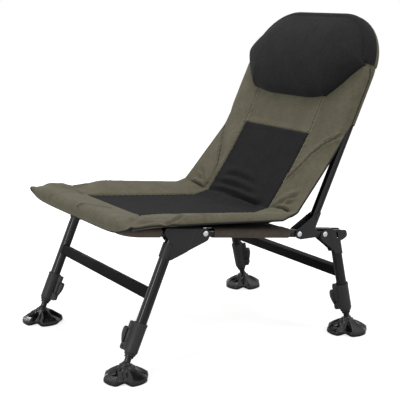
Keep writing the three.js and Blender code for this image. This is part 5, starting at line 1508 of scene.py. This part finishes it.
# Studio: a matt white floor, and light from a soft lamp high on the camera's right, a tall one on its
# left for the streaks on the tubes, a narrow one behind, a wide one on top and a white surround.
FLOOR_HALF = 12.0
FLOOR_LIFT = 0.72
floor_mesh = bpy.data.meshes.new("studio_floor")
corners = ((-1, -1), (1, -1), (1, 1), (-1, 1))
floor_mesh.from_pydata([(u * FLOOR_HALF, v * FLOOR_HALF, 0) for u, v in corners], [], [(0, 1, 2, 3)])
floor = bpy.data.objects.new("studio_floor", floor_mesh)
bpy.context.scene.collection.objects.link(floor)
paper = bpy.data.materials.new("white studio paper")
paper.use_nodes = True
tree = paper.node_tree
tree.nodes.clear()
matt = add(tree, "ShaderNodeBsdfDiffuse", Color=linear("#e8e8e8"))
seen = add(tree, "ShaderNodeLightPath")
glow = add(tree, "ShaderNodeEmission", Color=(1, 1, 1, 1))
lift = add(tree, "ShaderNodeMath", {"operation": "MULTIPLY"}, _0=seen.outputs["Is Camera Ray"], _1=FLOOR_LIFT)
tree.links.new(lift.outputs[0], glow.inputs["Strength"])
both = add(tree, "ShaderNodeAddShader", _0=matt.outputs["BSDF"], _1=glow.outputs["Emission"])
add(tree, "ShaderNodeOutputMaterial", Surface=both.outputs["Shader"])
floor_mesh.materials.append(paper)


def soft_lamp(name, place, target, wide, tall, power):
    """A rectangular soft lamp that faces a point."""
    light = bpy.data.lights.new(name, "AREA")
    light.shape, light.size, light.size_y, light.energy = "RECTANGLE", wide, tall, power
    lamp = bpy.data.objects.new(name, light)
    lamp.location = place
    lamp.rotation_mode = "QUATERNION"
    lamp.rotation_quaternion = (Vector(target) - Vector(place)).to_track_quat("-Z", "Y")
    bpy.context.scene.collection.objects.link(lamp)


soft_lamp("right_lamp", (2.4, 1.6, 2.2), (0, 0, 0.4), 0.9, 0.9, 16)
soft_lamp("left_lamp", (1.0, -3.1, 1.2), (0, 0, 0.3), 0.4, 1.6, 24)
soft_lamp("rim_lamp", (-2.9, -0.3, 1.0), (0, 0, 0.3), 0.2, 1.8, 14)
soft_lamp("top_lamp", (-0.3, 0.2, 2.8), (0, 0, 0.3), 1.2, 1.2, 26)
world = bpy.data.worlds.new("studio_surround")
world.use_nodes = True
tree = world.node_tree
tree.nodes.clear()
seen = add(tree, "ShaderNodeLightPath")
direct = add(tree, "ShaderNodeMath", {"operation": "MAXIMUM"}, _0=seen.outputs["Is Camera Ray"],
             _1=seen.outputs["Is Glossy Ray"])
direct = add(tree, "ShaderNodeMath", {"operation": "MAXIMUM"}, _0=direct.outputs[0],
             _1=seen.outputs["Is Transmission Ray"])
level = add(tree, "ShaderNodeMapRange", Value=direct.outputs[0], To_Min=0.36, To_Max=1.0)
surround = add(tree, "ShaderNodeBackground", Color=(1, 1, 1, 1))
tree.links.new(level.outputs["Result"], surround.inputs["Strength"])
add(tree, "ShaderNodeOutputWorld", Surface=surround.outputs["Background"])
bpy.context.scene.world = world
bpy.context.scene.view_settings.view_transform = "Standard"
